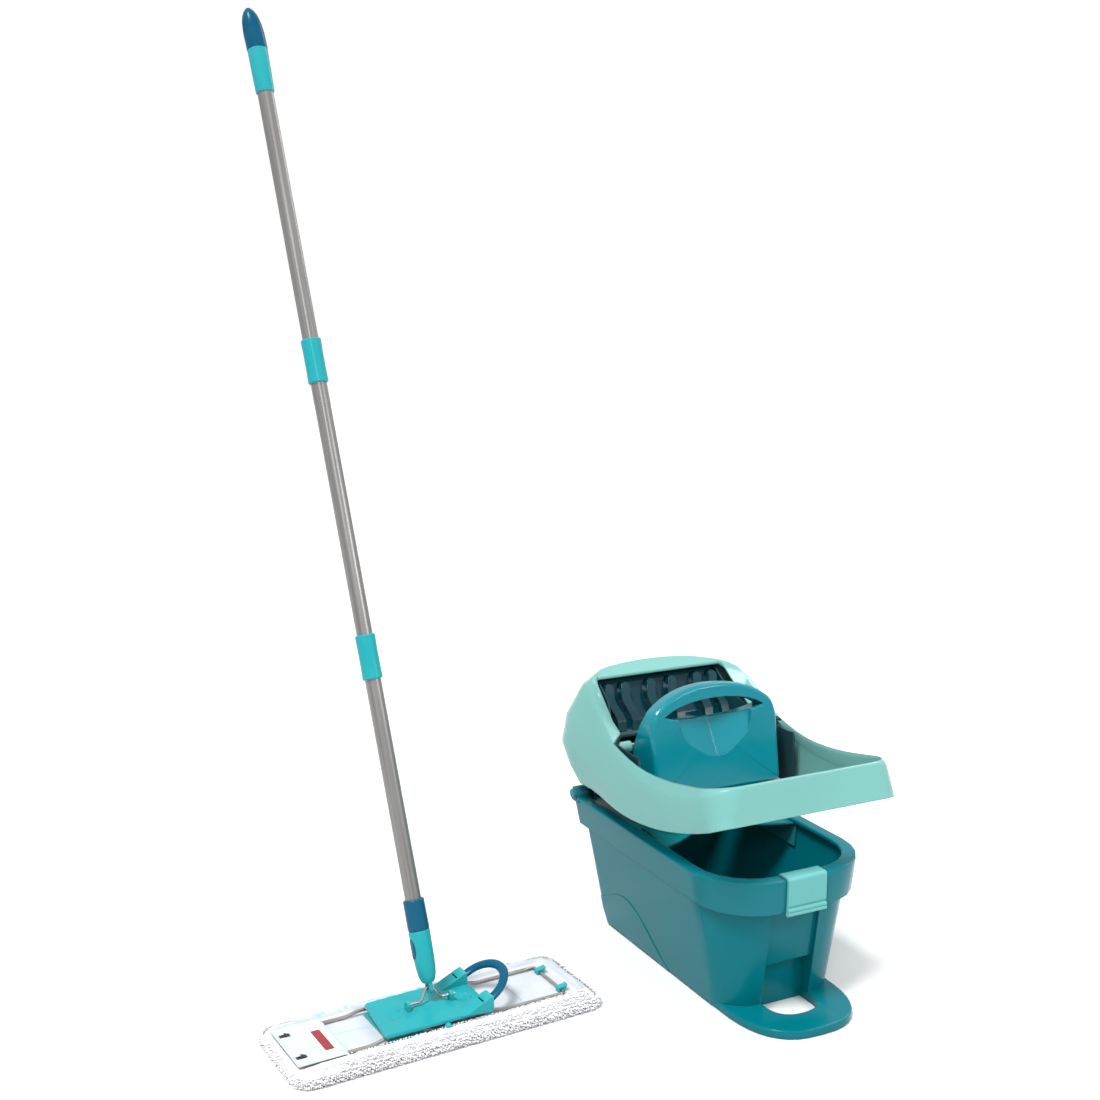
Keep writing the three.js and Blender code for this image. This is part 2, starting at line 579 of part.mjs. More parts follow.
function makeChassis() {
  const { armHalf, wall, bottomZ, frontX, ledgeX, ledgeZ } = CHASSIS;
  const wide = armHalf + 1;
  const wallFoot = 78; // where the back wall turns from sloping to upright
  const back = acrossProfile([
    [51, 171], [wallFoot, 109], [wallFoot, bottomZ], [wallFoot - wall, bottomZ],
    [wallFoot - wall, 108.6], [47.4, 171],
  ], -wide, wide);
  const ledgeProfile = [[77, 109], [ledgeX, ledgeZ], [ledgeX, ledgeZ - 3.5], [77, 103]];
  const ledge = acrossProfile(ledgeProfile, -wide, wide);
  const ribDepth = acrossProfile([
    [46, 176], [51 + RIBS.height, 176], [wallFoot + RIBS.height, 112], [ledgeX - 6, 97.5], [76, 97.5],
  ], -wide, wide);
  const ribs = RIBS.y.map((y) => common(wavyRib(y, 159, 96), ribDepth));
  const side = acrossProfile([
    [-9, -3], [-3, -8.5], [4, -8.5], [9, -3], [14, bottomZ], [frontX - 10, bottomZ], [frontX + 1, 75],
    [200, 76.5], [168, 84], [143, 91], [124, 104], [104, 122], [86, 141], [72, 157], [60, 169],
    [47, 171], [38, 110], [11, 27], [8, 7],
  ], -160, 160);
  const panels = MIRROR.map((s) => {
    const y0 = s < 0 ? -armHalf - wall : armHalf;
    return join(common(sidePanel(s), side), rodY(0, 0, y0, y0 + wall, 9, 20));
  });
  const sill = box(74, 82, -wide, wide, bottomZ, 12);
  const tabs = [];
  const bores = [];
  for (const s of MIRROR) {
    for (const x of SCREW.x) {
      const foot = x < 132 ? armHalf + wall + 1 : CHASSIS.panelHalf + 1;
      const reach = [s * foot, s * (SCREW.y + 3.8)].sort((a, b) => a - b);
      tabs.push(box(x - 9, x + 9, reach[0], reach[1], SCREW.seatZ - 3, SCREW.seatZ));
      bores.push(rodZ(x, s * SCREW.y, 30, 60, 2 + FIT, 10));
    }
    bores.push(rodY(AXLE.x, AXLE.z, s * 126, s * 136, AXLE.bossR + FIT, 24));
    bores.push(rodY(0, 0, s * 98, s * 108, HINGE.pinR + FIT, 20));
  }
  return cut(join(back, ledge, ...ribs, ...panels, sill, ...tabs), ...bores);
}

function makeScrew(x, y) {
  const head = rodZ(x, y, SCREW.seatZ - 3 - FIT - 2.6, SCREW.seatZ - 3 - FIT, 4.2, 14);
  const shank = rodZ(x, y, SCREW.seatZ - 4, 58, 2, 10);
  const recess = box(x - 0.6, x + 0.6, y - 2.6, y + 2.6, SCREW.seatZ - 8, SCREW.seatZ - 4.6);
  return cut(join(head, shank), recess);
}

const makeAxle = () => rodY(AXLE.x, AXLE.z, -114, 114, AXLE.r, 20);

function makeAxleBoss(s) {
  const spot = (y) => vec(AXLE.x, s * y, AXLE.z);
  const tube = rod(spot(LEVER.half + 0.5), spot(136), AXLE.bossR, 24);
  return cut(tube, rodY(AXLE.x, AXLE.z, s * 90, s * 115, AXLE.r + FIT, 20));
}

// ---------------------------------------------------------------- press lever
function leverOutline() {
  const { half, bottomZ, shoulderZ, archZ } = LEVER;
  const s = new THREE.Shape();
  s.moveTo(-half + 12, bottomZ);
  s.lineTo(half - 12, bottomZ);
  s.quadraticCurveTo(half - 2.5, bottomZ, half - 2.5, bottomZ + 10);
  s.lineTo(half, 96);
  s.quadraticCurveTo(half + 1, shoulderZ - 9, half - 11, shoulderZ + 4);
  s.bezierCurveTo(half - 42, archZ - 6, 34, archZ, 0, archZ);
  s.bezierCurveTo(-34, archZ, -half + 42, archZ - 6, -half + 11, shoulderZ + 4);
  s.quadraticCurveTo(-half - 1, shoulderZ - 9, -half, 96);
  s.lineTo(-half + 2.5, bottomZ + 10);
  s.quadraticCurveTo(-half + 2.5, bottomZ, -half + 12, bottomZ);
  return s;
}

/** Lens-shaped opening between the strap and the body. */
function lensOutline() {
  const { lensHalf, lensTipZ, lensLowZ, lensHighZ } = LEVER;
  const pull = (z) => (z - lensTipZ / 4) / 0.75; // control height of a curve that peaks at z
  const s = new THREE.Shape();
  s.moveTo(-lensHalf, lensTipZ);
  s.bezierCurveTo(-50, pull(lensLowZ), 50, pull(lensLowZ), lensHalf, lensTipZ);
  s.bezierCurveTo(50, pull(lensHighZ), -50, pull(lensHighZ), -lensHalf, lensTipZ);
  return s;
}

/** Block with the lever's outline and a rounded edge all round its front. */
function leverBlock(x0, x1) {
  const r = LEVER.round;
  const outline = leverOutline().getPoints(9).slice(0, -1);
  const n = outline.length;
  const inwards = outline.map((p, i) => {
    const along = outline[(i + 1) % n].clone().sub(outline[(i + n - 1) % n]).normalize();
    return new THREE.Vector2(-along.y, along.x);
  });
  const ring = (x, inset) => outline.map((p, i) => {
    const moved = p.clone().addScaledVector(inwards[i], inset);
    return vec(x, moved.x, moved.y);
  });
  const steps = 5;
  const rings = [ring(x0, 0)];
  for (let i = 0; i <= steps; i += 1) {
    const a = (i / steps) * (Math.PI / 2);
    rings.push(ring(x1 - r + r * Math.sin(a), r * (1 - Math.cos(a))));
  }
  return loft(rings);
}

/** Plan of the lever at one height. */
function leverPlan(backX, frontX, z) {
  const half = LEVER.half + 1.5;
  return planLoop({ x0: backX, x1: frontX, half, back: 8, front: 6, z, corner: 4 });
}

/** Two flat facets that meet in a valley down the middle of the finger scoop. */
function scoopFacets() {
  const halfWide = 75;
  const shallower = 19; // how much the facet rises from the valley to its side
  const section = (s, middleX, z) => {
    const side = s * halfWide;
    return [vec(middleX, 0, z), vec(240, 0, z), vec(240, side, z), vec(middleX + shallower, side, z)];
  };
  return MIRROR.map((s) => closed(loft([section(s, 212.6, 50), section(s, 183, 131)])));
}

function makeLever() {
  const { backX, frontX, strapBackX, half, bottomZ, wall } = LEVER;
  const skirt = box(backX - 20, frontX - LEVER.round, -half + 3, half - 3, bottomZ, bottomZ + 12);
  const block = join(leverBlock(backX - 20, frontX), skirt);
  const rounded = loft([
    leverPlan(backX, frontX, bottomZ - 1),
    leverPlan(backX, frontX, 76),
    leverPlan(backX + 5, frontX, 86),
    leverPlan(strapBackX, frontX, 127),
    leverPlan(strapBackX, frontX, 172),
  ]);
  const lens = forwardProfile(lensOutline(), backX - 10, frontX + 10);
  const scoopDisc = rod(vec(180, 0, 122), vec(235, 0, 122), 62, 44);
  const scoop = common(scoopDisc, join(...scoopFacets()));
  const inside = acrossProfile([[backX + wall, bottomZ - 5], [backX + wall, 74], [backX + wall + 14, 98],
    [188, 98], [203 - wall, 66], [203 - wall, bottomZ - 5]], -half + 5, half - 5);
  const bores = MIRROR.map((s) => rodY(AXLE.x, AXLE.z, s * 88, s * 110, AXLE.r + FIT, 20));
  return cut(common(block, rounded), lens, scoop, inside, ...bores);
}

/** Ribbed jaw on the back of the lever that squeezes the folded cover. */
function makeSqueezePlate() {
  const { backX, z0, z1, half, ribs, pitch } = JAW;
  const seat = LEVER.backX - FIT;
  const slab = box(backX - 4, seat, -half, half, z0, z1 - 5);
  const teeth = [];
  for (let i = 0; i < ribs; i += 1) {
    const y = (i - (ribs - 1) / 2) * pitch;
    const tooth = [[backX - 3, z0 + 4], [backX - 3, z1 - 9], [backX - 8, z1 - 15], [backX - 8, z0 + 10]];
    teeth.push(acrossProfile(tooth, y - 4, y + 4));
  }
  return join(slab, ...teeth);
}

// ---------------------------------------------------------------- mop head
function makeCentrePlate() {
  const edge = 1.2;
  const outline = polygon([
    [-82, 38], [-91, -49], [-88, -51], [58, -52], [61, -50], [63, 42], [60, 44], [-79, 41]]);
  const slab = new THREE.ExtrudeGeometry(outline, {
    depth: PLATE.top - PLATE.bottom - 2 * edge, bevelSize: edge, bevelThickness: edge, bevelSegments: 1,
  }).translate(0, 0, PLATE.bottom + edge);
  const ramp = (y) => {
    const s = new THREE.Shape();
    s.moveTo(16, PLATE.top - 1);
    s.lineTo(26, PLATE.top + 1);
    s.lineTo(56, 44.5);
    s.quadraticCurveTo(59, 45.8, 62, 46);
    s.lineTo(62.4, 28);
    s.lineTo(60, PLATE.bottom + 1);
    return acrossProfile(s, y - 11, y + 11, 4);
  };
  const seatProfile = [[47, 28.6], [47, 41], [58, 42.4], [64, 45.4], [75, 45.4], [75, 28.6]];
  const seatHalf = RING.wide / 2 + 0.6;
  const ringSeat = (y) => acrossProfile(seatProfile, y - seatHalf, y + seatHalf);
  const legs = [RING.y + RING.r, RING.y - RING.r];
  const lug = (x0, x1) => join(
    rod(vec(x0, BAIL.y, BAIL.z), vec(x1, BAIL.y, BAIL.z), 5, 16),
    box(x0, x1, BAIL.y - 5, BAIL.y + 5, PLATE.top - 1, BAIL.z));
  const saddle = loft([
    planLoop({ x0: -36, x1: 18, half: 15, back: 12, front: 12, z: PLATE.top - 0.5, corner: 4 }),
    planLoop({ x0: -30, x1: 12, half: 8, back: 7, front: 7, z: PLATE.top + 2.6, corner: 4 }),
  ]).translate(0, BAIL.y, 0);
  const dimple = (x0, x1, shift) => loft([
    planLoop({ x0: x0 + 5, x1: x1 - 4, half: 7, back: 5, front: 6, z: PLATE.top - 2.6, corner: 4 }),
    planLoop({ x0, x1, half: 12, back: 8, front: 11, z: PLATE.top + 0.6, corner: 4 }),
  ]).translate(0, BAIL.y + shift, 0);
  const clips = [];
  const grooves = [];
  for (const side of MIRROR) {
    const x = FOLD_X + side * WING_AXIS.x;
    for (const y of [-30, 30]) {
      clips.push(box(x - 4.5, x + 4.5, y - 5, y + 5, WING_AXIS.z, PLATE.bottom + 1));
      grooves.push(rodY(x, WING_AXIS.z, y - 9, y + 9, WIRE_R + FIT, 14));
    }
  }
  const rodBlock = box(FOLD_X - 5, FOLD_X + 5, -20, 20, 17.5, PLATE.bottom + 1);
  const rodBore = rodY(FOLD_X, 20.8, -60, 60, 2 + FIT, 12);
  const bailBore = rod(vec(-60, BAIL.y, BAIL.z), vec(50, BAIL.y, BAIL.z), BAIL.r + FIT, 12);
  const ramps = legs.map(ramp);
  const body = join(slab, ...ramps, saddle, ...clips, rodBlock);
  const dished = cut(body, dimple(-74, -42, -2), dimple(26, 54, 0));
  const lugs = [lug(-43, -38), lug(20, 25)];
  return cut(join(dished, ...lugs), ...legs.map(ringSeat), ...grooves, rodBore, bailBore);
}

function makeFootRing() {
  const stations = [];
  const reach = (along, y) => vec(
    RING.x + along * Math.cos(RING.rise), RING.y + y, RING.z - 1 + along * Math.sin(RING.rise));
  stations.push(vec(50.5, RING.y + RING.r, RING.z - 1));
  stations.push(reach(-4, RING.r));
  for (let i = 0; i <= 16; i += 1) {
    const a = Math.PI / 2 - (Math.PI * i) / 16;
    stations.push(reach(5 + RING.r * Math.cos(a), RING.r * Math.sin(a)));
  }
  stations.push(reach(-4, -RING.r));
  stations.push(vec(50.5, RING.y - RING.r, RING.z - 1));
  const normal = vec(-Math.sin(RING.rise), 0, Math.cos(RING.rise));
  return sweep(stations, RING.wide / 2, RING.thick / 2, 12, normal);
}

const makeLockRod = () => rodY(FOLD_X, 20.8, -56, 40, 2, 12);

function makeLockKnob() {
  const knob = rod(vec(FOLD_X, -53.4, 20.8), vec(FOLD_X, -60.4, 20.8), 5, 16, 4.2);
  return cut(knob, rodY(FOLD_X, 20.8, -56.3, -40, 2 + FIT, 12));
}

/** Bent steel wire of one wing; its turned-in ends are the hinge pivots. */
function makeWingWire(side) {
  const x = (d) => FOLD_X + side * d;
  const [end, step] = side < 0 ? [186, 86] : [184, 74];
  const half = [[WING_AXIS.x, 23, 16], [WING_AXIS.x, WIRE_Y, 16], [30, WIRE_Y, 20.6], [step, WIRE_Y, 20.6],
    [step + 17, WIRE_Y, 16.6], [end, WIRE_Y, 16.6]];
  const points = half.map(([d, y, z]) => vec(x(d), y, z));
  points.push(...half.slice().reverse().map(([d, y, z]) => vec(x(d), -y, z)));
  return bentWire(points, WIRE_R, 5.5, 8, 2);
}

/** Stiff plastic leaf clipped under the wires of one wing. */
function makeWingLeaf(side) {
  const span = side < 0 ? [30, 80] : [30, 62];
  const xs = span.map((d) => FOLD_X + side * d).sort((a, b) => a - b);
  const wide = side < 0 ? 55 : 38;
  const leaf = box(xs[0], xs[1], -wide, wide - (side < 0 ? 16 : 0), 14.2, 17.4);
  return leaf;
}

/** Hook on the cross-wire that catches the cover. */
function makeHook(side, y) {
  const x = FOLD_X + side * (side < 0 ? 186 : 184);
  const body = acrossProfile(
    [[x - 5, 14], [x + 5, 14], [x + 6, 18], [x + side * 9, 23.4], [x + side * 5, 21.6], [x - 5, 20.6]],
    y - 4.5, y + 4.5);
  return cut(body, rodY(x, 16.6, y - 12, y + 12, WIRE_R + FIT, 12));
}

/** One padded half of the cover with the bed in which the wire frame lies. */
function makeCoverHalf(side) {
  const inner = FOLD_X + side * (WING_AXIS.x + 0.6);
  const level = (inset, z) => planLoop({
    x0: -COVER.half + inset, x1: COVER.half - inset, half: COVER.halfWide - inset,
    back: COVER.cornerR - inset / 2, front: COVER.cornerR - inset / 2, z, side: 6, across: 3,
  });
  const whole = loft([
    level(4, 0), level(0.6, 4), level(0, 9), level(1.4, 16), level(6, 20.4), level(11, COVER.top)]);
  const keep = side < 0 ? box(-240, inner, -100, 100, -5, 40) : box(inner, 240, -100, 100, -5, 40);
  const bedEnd = FOLD_X + side * (side < 0 ? 202 : 198);
  const xs = [bedEnd, FOLD_X - side * 8].sort((a, b) => a - b);
  const bed = box(xs[0], xs[1], -COVER.bedHalf, COVER.bedHalf, COVER.bed, 40);
  const leafRoom = side < 0 ? [box(-92, inner + 1, -58, -45, COVER.bed, 40)] : [];
  return cut(common(whole, keep), bed, ...leafRoom);
}

/** Stitched pocket panel over the far end of the left wing's frame. */
function makePocketPanel() {
  const panel = box(-206.6, -144, -49.6, 49.6, 19.6, 21.2);
  const slits = [28, -33].map((y) => box(-206, -188, y - 5, y + 5, 15, 25));
  return cut(panel, ...slits);
}

const makeLabel = () => box(-171, -152, -38, 24, 21.5, 22.1);

// ---------------------------------------------------------------- joint and handle
/** Wire bail; its feet turn in the centre plate's lugs. Frame: pivot line at z = 0. */
function makeBail() {
  const { foot, bend, apex, rise } = BAIL;
  const points = [vec(-foot, 0, 0), vec(-bend, 0, 0), vec(-apex, 0, rise), vec(apex, 0, rise),
    vec(bend, 0, 0), vec(foot, 0, 0)];
  return bentWire(points, BAIL.r, 4.2, 8, 3);
}

/** Socket of the handle joint; frame: z along the handle, 0 on the bail's apex. */
function makeSocket() {
  const cone = turned([[7.4, 5.5], [9.4, 8], [11.8, 15], [13.3, 25], [14, 38], [14.3, 52],
    [14.5, ALONG.socketTop - 1], [14, ALONG.socketTop]], 32);
  const eye = common(
    join(rod(vec(-2.4, 0, -2.2), vec(2.4, 0, -2.2), 7.6, 20), box(-2.4, 2.4, -7.6, 7.6, -1, 10)),
    box(-10, 10, -8, 8, -12, 12));
  const acrossEye = (z) => rod(vec(-10, 0, z), vec(10, 0, z), 3.3, 14);
  const hole = join(acrossEye(0), acrossEye(-1.6));
  const bore = rodZ(0, 0, 34, 100, 10.6, 28);
  const window = buttonBlock(BUTTON.halfLong + FIT, BUTTON.halfWide + FIT, 5, 30);
  return cut(join(cone, eye), hole, bore, window);
}

/** Oval block on the -X side of the handle. */
function buttonBlock(halfLong, halfWide, r0, r1) {
  const oval = new THREE.Shape();
  oval.absellipse(0, 0, halfWide, halfLong, 0, 2 * Math.PI);
  return forwardProfile(oval, -r1, -r0, 10).translate(0, 0, BUTTON.along);
}

function makeButton() {
  const block = buttonBlock(BUTTON.halfLong, BUTTON.halfWide, 8.4, 17);
  const dome = rodZ(0, 0, 20, 90, BUTTON.proud, 40);
  return common(block, dome);
}

/** Coil spring behind the button, wound about the X axis. */
function makeButtonSpring() {
  const stations = [];
  const turns = 3;
  const steps = 24;
  for (let i = 0; i <= steps; i += 1) {
    const a = (2 * Math.PI * turns * i) / steps;
    stations.push(vec(-8 + (7 * i) / steps, 3.2 * Math.cos(a), BUTTON.along + 3.2 * Math.sin(a)));
  }
  return sweep(stations, 0.45, 0.45, 5, vec(1, 0, 0));
}

/** Collar with the neck that clicks into the socket. */
function makeCollar() {
  const body = turned([[10.2, 36], [10.2, ALONG.socketTop + FIT], [13.8, ALONG.socketTop + FIT],
    [14.6, ALONG.socketTop + 2], [14.3, ALONG.collarTop - 1.5], [13.2, ALONG.collarTop]], 32);
  const tubeSeat = rodZ(0, 0, ALONG.socketTop + 8, 140, TUBE.r + FIT, 28);
  const buttonRoom = buttonBlock(BUTTON.halfLong + FIT, BUTTON.halfWide + FIT, 0.4, 30);
  return cut(body, tubeSeat, buttonRoom);
}

function makeTube(z0, z1) {
  const outer = rodZ(0, 0, z0, z1, TUBE.r, 28);
  return cut(outer, rodZ(0, 0, z0 - 1, z1 + 1, TUBE.r - TUBE.wall, 28));
}

function makeConnector([z0, z1]) {
  const r = TUBE.sleeveR;
  const body = turned([[r - 1.2, z0], [r, z0 + 1.5], [r - 0.5, z0 + 20], [r - 0.5, z1 - 20], [r, z1 - 1.5],
    [r - 1.2, z1]], 32);
  return cut(body, rodZ(0, 0, z0 - 1, z1 + 1, TUBE.r + FIT, 28));
}

function makeThreadPlug([z0, z1]) {
  const middle = (z0 + z1) / 2;
  const r = TUBE.r - TUBE.wall - FIT;
  const rings = [];
  for (let i = 0; i < 4; i += 1) {
    const z = middle - 18 + i * 12;
    rings.push([r - 1.2, z - 4], [r, z]);
  }
  return turned([[r - 2, middle - 25], ...rings, [r - 2, middle + 25]], 14);
}

function makeGripSleeve() {
  const r = TUBE.sleeveR;
  const { gripBottom, gripTop } = ALONG;
  const profile = [[r - 2, gripBottom], [r - 1, gripBottom + 2], [r - 0.3, gripTop - 30], [r, gripTop]];
  const body = turned(profile, 32);
  return cut(body, rodZ(0, 0, gripBottom - 1, gripTop + 1, TUBE.r + FIT, 28));
}

/** Bullet-shaped cap; its tip leans over the scoop that the hanging eye opens into. */
function makeGripCap() {
  const base = ALONG.gripTop + FIT;
  const body = turned([[9.7, base - 28], [9.7, base], [14.3, base], [14.4, base + 22], [13.6, base + 33],
    [12.4, base + 40], [10.4, base + 48], [7.4, base + 54], [3, ALONG.tip - 0.6]], 32);
  const leaning = lean(body, base + 6, 0.058);
  const eye = rod(vec(-24, 0, base + 26), vec(24, 0, base + 32), 4, 16);
  const scoop = new THREE.SphereGeometry(15, 20, 12).scale(1, 0.8, 1.15).translate(-25.5, 0, base + 34);
  return cut(leaning, eye, scoop);
}

/** Shifts a turned piece towards -X, more and more above z = from. */
function lean(geometry, from, slope) {
  const p = geometry.attributes.position;
  for (let i = 0; i < p.count; i += 1) {
    p.setX(i, p.getX(i) - slope * Math.max(0, p.getZ(i) - from));
  }
  return geometry;
}

// ---------------------------------------------------------------- assembly
function buildBucket() {
  const bucket = new THREE.Group();
  bucket.name = 'bucket';
  bucket.rotation.z = -Math.PI / 2;
  bucket.add(mesh('tub', makeTub(), COLOUR.tub, 0.28));
  bucket.add(mesh('drain_tray', makeDrainTray(), COLOUR.deck, 0.35));
  bucket.add(mesh('hinge_pin_near', makeHingePin(-1), COLOUR.tub, 0.35));
  bucket.add(mesh('hinge_pin_far', makeHingePin(1), COLOUR.tub, 0.35));
  bucket.add(mesh('front_latch', makeLatch(), COLOUR.latch, 0.3));
  bucket.add(mesh('latch_pin', makeLatchPin(), COLOUR.steel, 0.3, 0.9));

  const press = new THREE.Group();
  press.name = 'press';
  press.position.set(HINGE.x, 0, HINGE.z);
  press.rotation.y = -PRESS_TILT;
  press.add(mesh('press_shell', makePressShell(), COLOUR.shell, 0.32));
  press.add(mesh('press_chassis', makeChassis(), COLOUR.chassis, 0.35));
  press.add(mesh('press_axle', makeAxle(), COLOUR.steel, 0.3, 0.9));
  const sides = [['near', -1], ['far', 1]];
  const places = ['rear', 'front'];
  for (const [word, s] of sides) {
    press.add(mesh(`axle_boss_${word}`, makeAxleBoss(s), COLOUR.shell, 0.32));
    SCREW.x.forEach((x, i) => {
      const name = `chassis_screw_${places[i]}_${word}`;
      press.add(mesh(name, makeScrew(x, s * SCREW.y), COLOUR.screw, 0.4, 0.8));
    });
  }
  press.add(mesh('press_lever', makeLever(), COLOUR.lever, 0.3));
  press.add(mesh('squeeze_plate', makeSqueezePlate(), COLOUR.squeeze, 0.4));
  bucket.add(press);
  return bucket;
}

function buildHandle() {
  const handle = new THREE.Group();
  handle.name = 'handle';
  const blue = (name, geometry) => handle.add(mesh(name, geometry, COLOUR.navy, 0.35));
  const teal = (name, geometry) => handle.add(mesh(name, geometry, COLOUR.turquoise, 0.35));
  const metal = (name, geometry) => handle.add(mesh(name, geometry, COLOUR.steel, 0.38, 0.85));
  const seam = 0.5;
  const joints = [ALONG.firstJoint, ALONG.secondJoint];
  const middles = joints.map(([z0, z1]) => (z0 + z1) / 2);
  teal('joint_socket', makeSocket());
  blue('click_button', makeButton());
  metal('button_spring', makeButtonSpring());
  blue('click_collar', makeCollar());
  metal('lower_tube', makeTube(ALONG.socketTop + 8 + FIT, middles[0] - seam));
  teal('lower_connector', makeConnector(joints[0]));
  blue('lower_thread_plug', makeThreadPlug(joints[0]));
  metal('middle_tube', makeTube(middles[0] + seam, middles[1] - seam));
  teal('upper_connector', makeConnector(joints[1]));
  blue('upper_thread_plug', makeThreadPlug(joints[1]));
  metal('upper_tube', makeTube(middles[1] + seam, ALONG.gripTop - 2));
  teal('grip_sleeve', makeGripSleeve());
  blue('grip_cap', makeGripCap());
  handle.position.set(0, 0, BAIL.rise);
  handle.rotation.y = -HANDLE_SIDE;
  return handle;
}

function buildMop() {
  const mop = new THREE.Group();
  mop.name = 'mop';
  mop.rotation.z = MOP_TURN;
  mop.position.set(MOP_OFFSET.x, MOP_OFFSET.y, 0);
  mop.add(mesh('centre_plate', makeCentrePlate(), COLOUR.turquoise, 0.35));
  mop.add(mesh('foot_ring', makeFootRing(), COLOUR.navy, 0.35));
  mop.add(mesh('lock_rod', makeLockRod(), COLOUR.steel, 0.3, 0.9));
  mop.add(mesh('lock_knob', makeLockKnob(), COLOUR.turquoise, 0.35));
  for (const [word, side] of [['left', -1], ['right', 1]]) {
    const hooks = side < 0 ? [28, -33] : [29, -31];
    mop.add(mesh(`${word}_wing_wire`, makeWingWire(side), COLOUR.wire, 0.35, 0.85));
    mop.add(mesh(`${word}_wing_leaf`, makeWingLeaf(side), COLOUR.turquoise, 0.4));
    mop.add(mesh(`${word}_hook_back`, makeHook(side, hooks[0]), COLOUR.turquoise, 0.4));
    mop.add(mesh(`${word}_hook_front`, makeHook(side, hooks[1]), COLOUR.turquoise, 0.4));
    mop.add(mesh(`cover_${word}`, makeCoverHalf(side), COLOUR.cover, 0.95));
  }
  mop.add(mesh('left_pocket_panel', makePocketPanel(), COLOUR.pocket, 0.9));
  mop.add(mesh('sewn_label', makeLabel(), COLOUR.label, 0.8));

  const bail = new THREE.Group();
  bail.name = 'bail';
  bail.position.set(BAIL.x, BAIL.y, BAIL.z);
  bail.rotation.x = -HANDLE_BACK;
  bail.add(mesh('bail_wire', makeBail(), COLOUR.wire, 0.3, 0.9));
  bail.add(buildHandle());
  mop.add(bail);
  return mop;
}

const set = new THREE.Group();
set.name = 'mop_and_press_bucket';
set.add(buildBucket(), buildMop());
set.updateMatrixWorld(true);

// The origin lies under the middle of the whole set, on the floor.
const bounds = new THREE.Box3().setFromObject(set, true);
const middle = bounds.getCenter(vec(0, 0, 0));
set.position.set(-middle.x, -middle.y, -bounds.min.z);
set.updateMatrixWorld(true);

export default set;
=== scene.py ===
"""Looks of the flat click mop and its press bucket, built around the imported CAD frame.

Everything is in metres in the CAD's row frame. The mop's own frame (u along the head, v away from its
front, z up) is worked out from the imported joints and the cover's solids.
"""

import json
import math
import random

import bmesh
import bpy
import numpy as np
from mathutils import Matrix, Vector


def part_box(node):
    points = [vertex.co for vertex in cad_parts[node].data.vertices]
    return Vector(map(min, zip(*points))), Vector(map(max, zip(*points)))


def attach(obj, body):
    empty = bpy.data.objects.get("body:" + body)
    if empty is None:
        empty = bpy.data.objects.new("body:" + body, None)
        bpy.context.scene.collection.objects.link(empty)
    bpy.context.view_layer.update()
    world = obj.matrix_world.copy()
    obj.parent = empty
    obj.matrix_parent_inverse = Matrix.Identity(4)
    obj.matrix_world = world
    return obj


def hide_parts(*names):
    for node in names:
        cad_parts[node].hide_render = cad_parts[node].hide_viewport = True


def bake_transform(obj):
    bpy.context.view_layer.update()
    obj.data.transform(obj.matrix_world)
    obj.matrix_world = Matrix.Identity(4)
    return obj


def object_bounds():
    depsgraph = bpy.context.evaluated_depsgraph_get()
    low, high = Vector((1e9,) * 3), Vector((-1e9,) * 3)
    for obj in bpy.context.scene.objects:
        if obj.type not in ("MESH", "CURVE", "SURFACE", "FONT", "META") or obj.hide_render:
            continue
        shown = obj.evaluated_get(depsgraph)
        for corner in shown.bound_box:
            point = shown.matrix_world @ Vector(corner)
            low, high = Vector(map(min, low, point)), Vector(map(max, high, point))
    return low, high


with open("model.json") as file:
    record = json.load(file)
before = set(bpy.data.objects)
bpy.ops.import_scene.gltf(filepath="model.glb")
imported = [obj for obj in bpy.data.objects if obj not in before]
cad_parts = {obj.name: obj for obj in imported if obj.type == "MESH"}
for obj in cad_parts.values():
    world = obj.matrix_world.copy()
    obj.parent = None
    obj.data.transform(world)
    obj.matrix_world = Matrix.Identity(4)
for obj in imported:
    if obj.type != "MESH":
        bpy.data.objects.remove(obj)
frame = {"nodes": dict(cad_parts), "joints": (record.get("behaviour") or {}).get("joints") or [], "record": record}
cad_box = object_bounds()

NODES = frame["nodes"]
JOINTS = {j["name"]: j for j in frame["joints"]}
MM = 0.001

# The camera stands in front of the bucket and to its left, placed from the hinge of its press.
CAMERA_FROM_HINGE = Vector((-1.145708, -1.931379, 0.785447))
CAMERA_HEADING = math.radians(-26.752)
CAMERA_PITCH = math.radians(-10.584)
CAMERA_LENS = 49.067
CAMERA_SENSOR = 36


# ------------------------------------------------------------------ frames of the mop and its handle
def joint_axis(name):
    return Vector(JOINTS[name]["axis"]).normalized()


def joint_place(name):
    return Vector(JOINTS[name]["pos_m"])


V_AXIS = joint_axis("right_wing_fold")
U_AXIS = V_AXIS.cross(Vector((0, 0, 1))).normalized()


def cover_centre():
    """Spot on the floor under the middle of the cover, from the boxes of its two solids."""
    low_left, high_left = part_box("cover_left")
    low_right, high_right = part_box("cover_right")
    low = Vector(map(min, low_left, low_right))
    high = Vector(map(max, high_left, high_right))
    middle = (low + high) / 2
    return Vector((middle.x, middle.y, 0))


CENTRE = cover_centre()
FRAME_OF_MOP = Matrix.Translation(CENTRE) @ Matrix((
    (U_AXIS.x, V_AXIS.x, 0, 0), (U_AXIS.y, V_AXIS.y, 0, 0), (0, 0, 1, 0), (0, 0, 0, 1)))
FRAME_OF_MOP_INVERSE = FRAME_OF_MOP.inverted()


def mop_spot(u, v, z):
    return FRAME_OF_MOP @ Vector((u, v, z))


def in_mop(point):
    return FRAME_OF_MOP_INVERSE @ Vector(point)


def extent_in_mop(node):
    """Lowest and highest corner of a CAD node along the mop's own axes."""
    spots = np.array([in_mop(vertex.co) for vertex in NODES[node].data.vertices])
    return spots.min(0), spots.max(0)


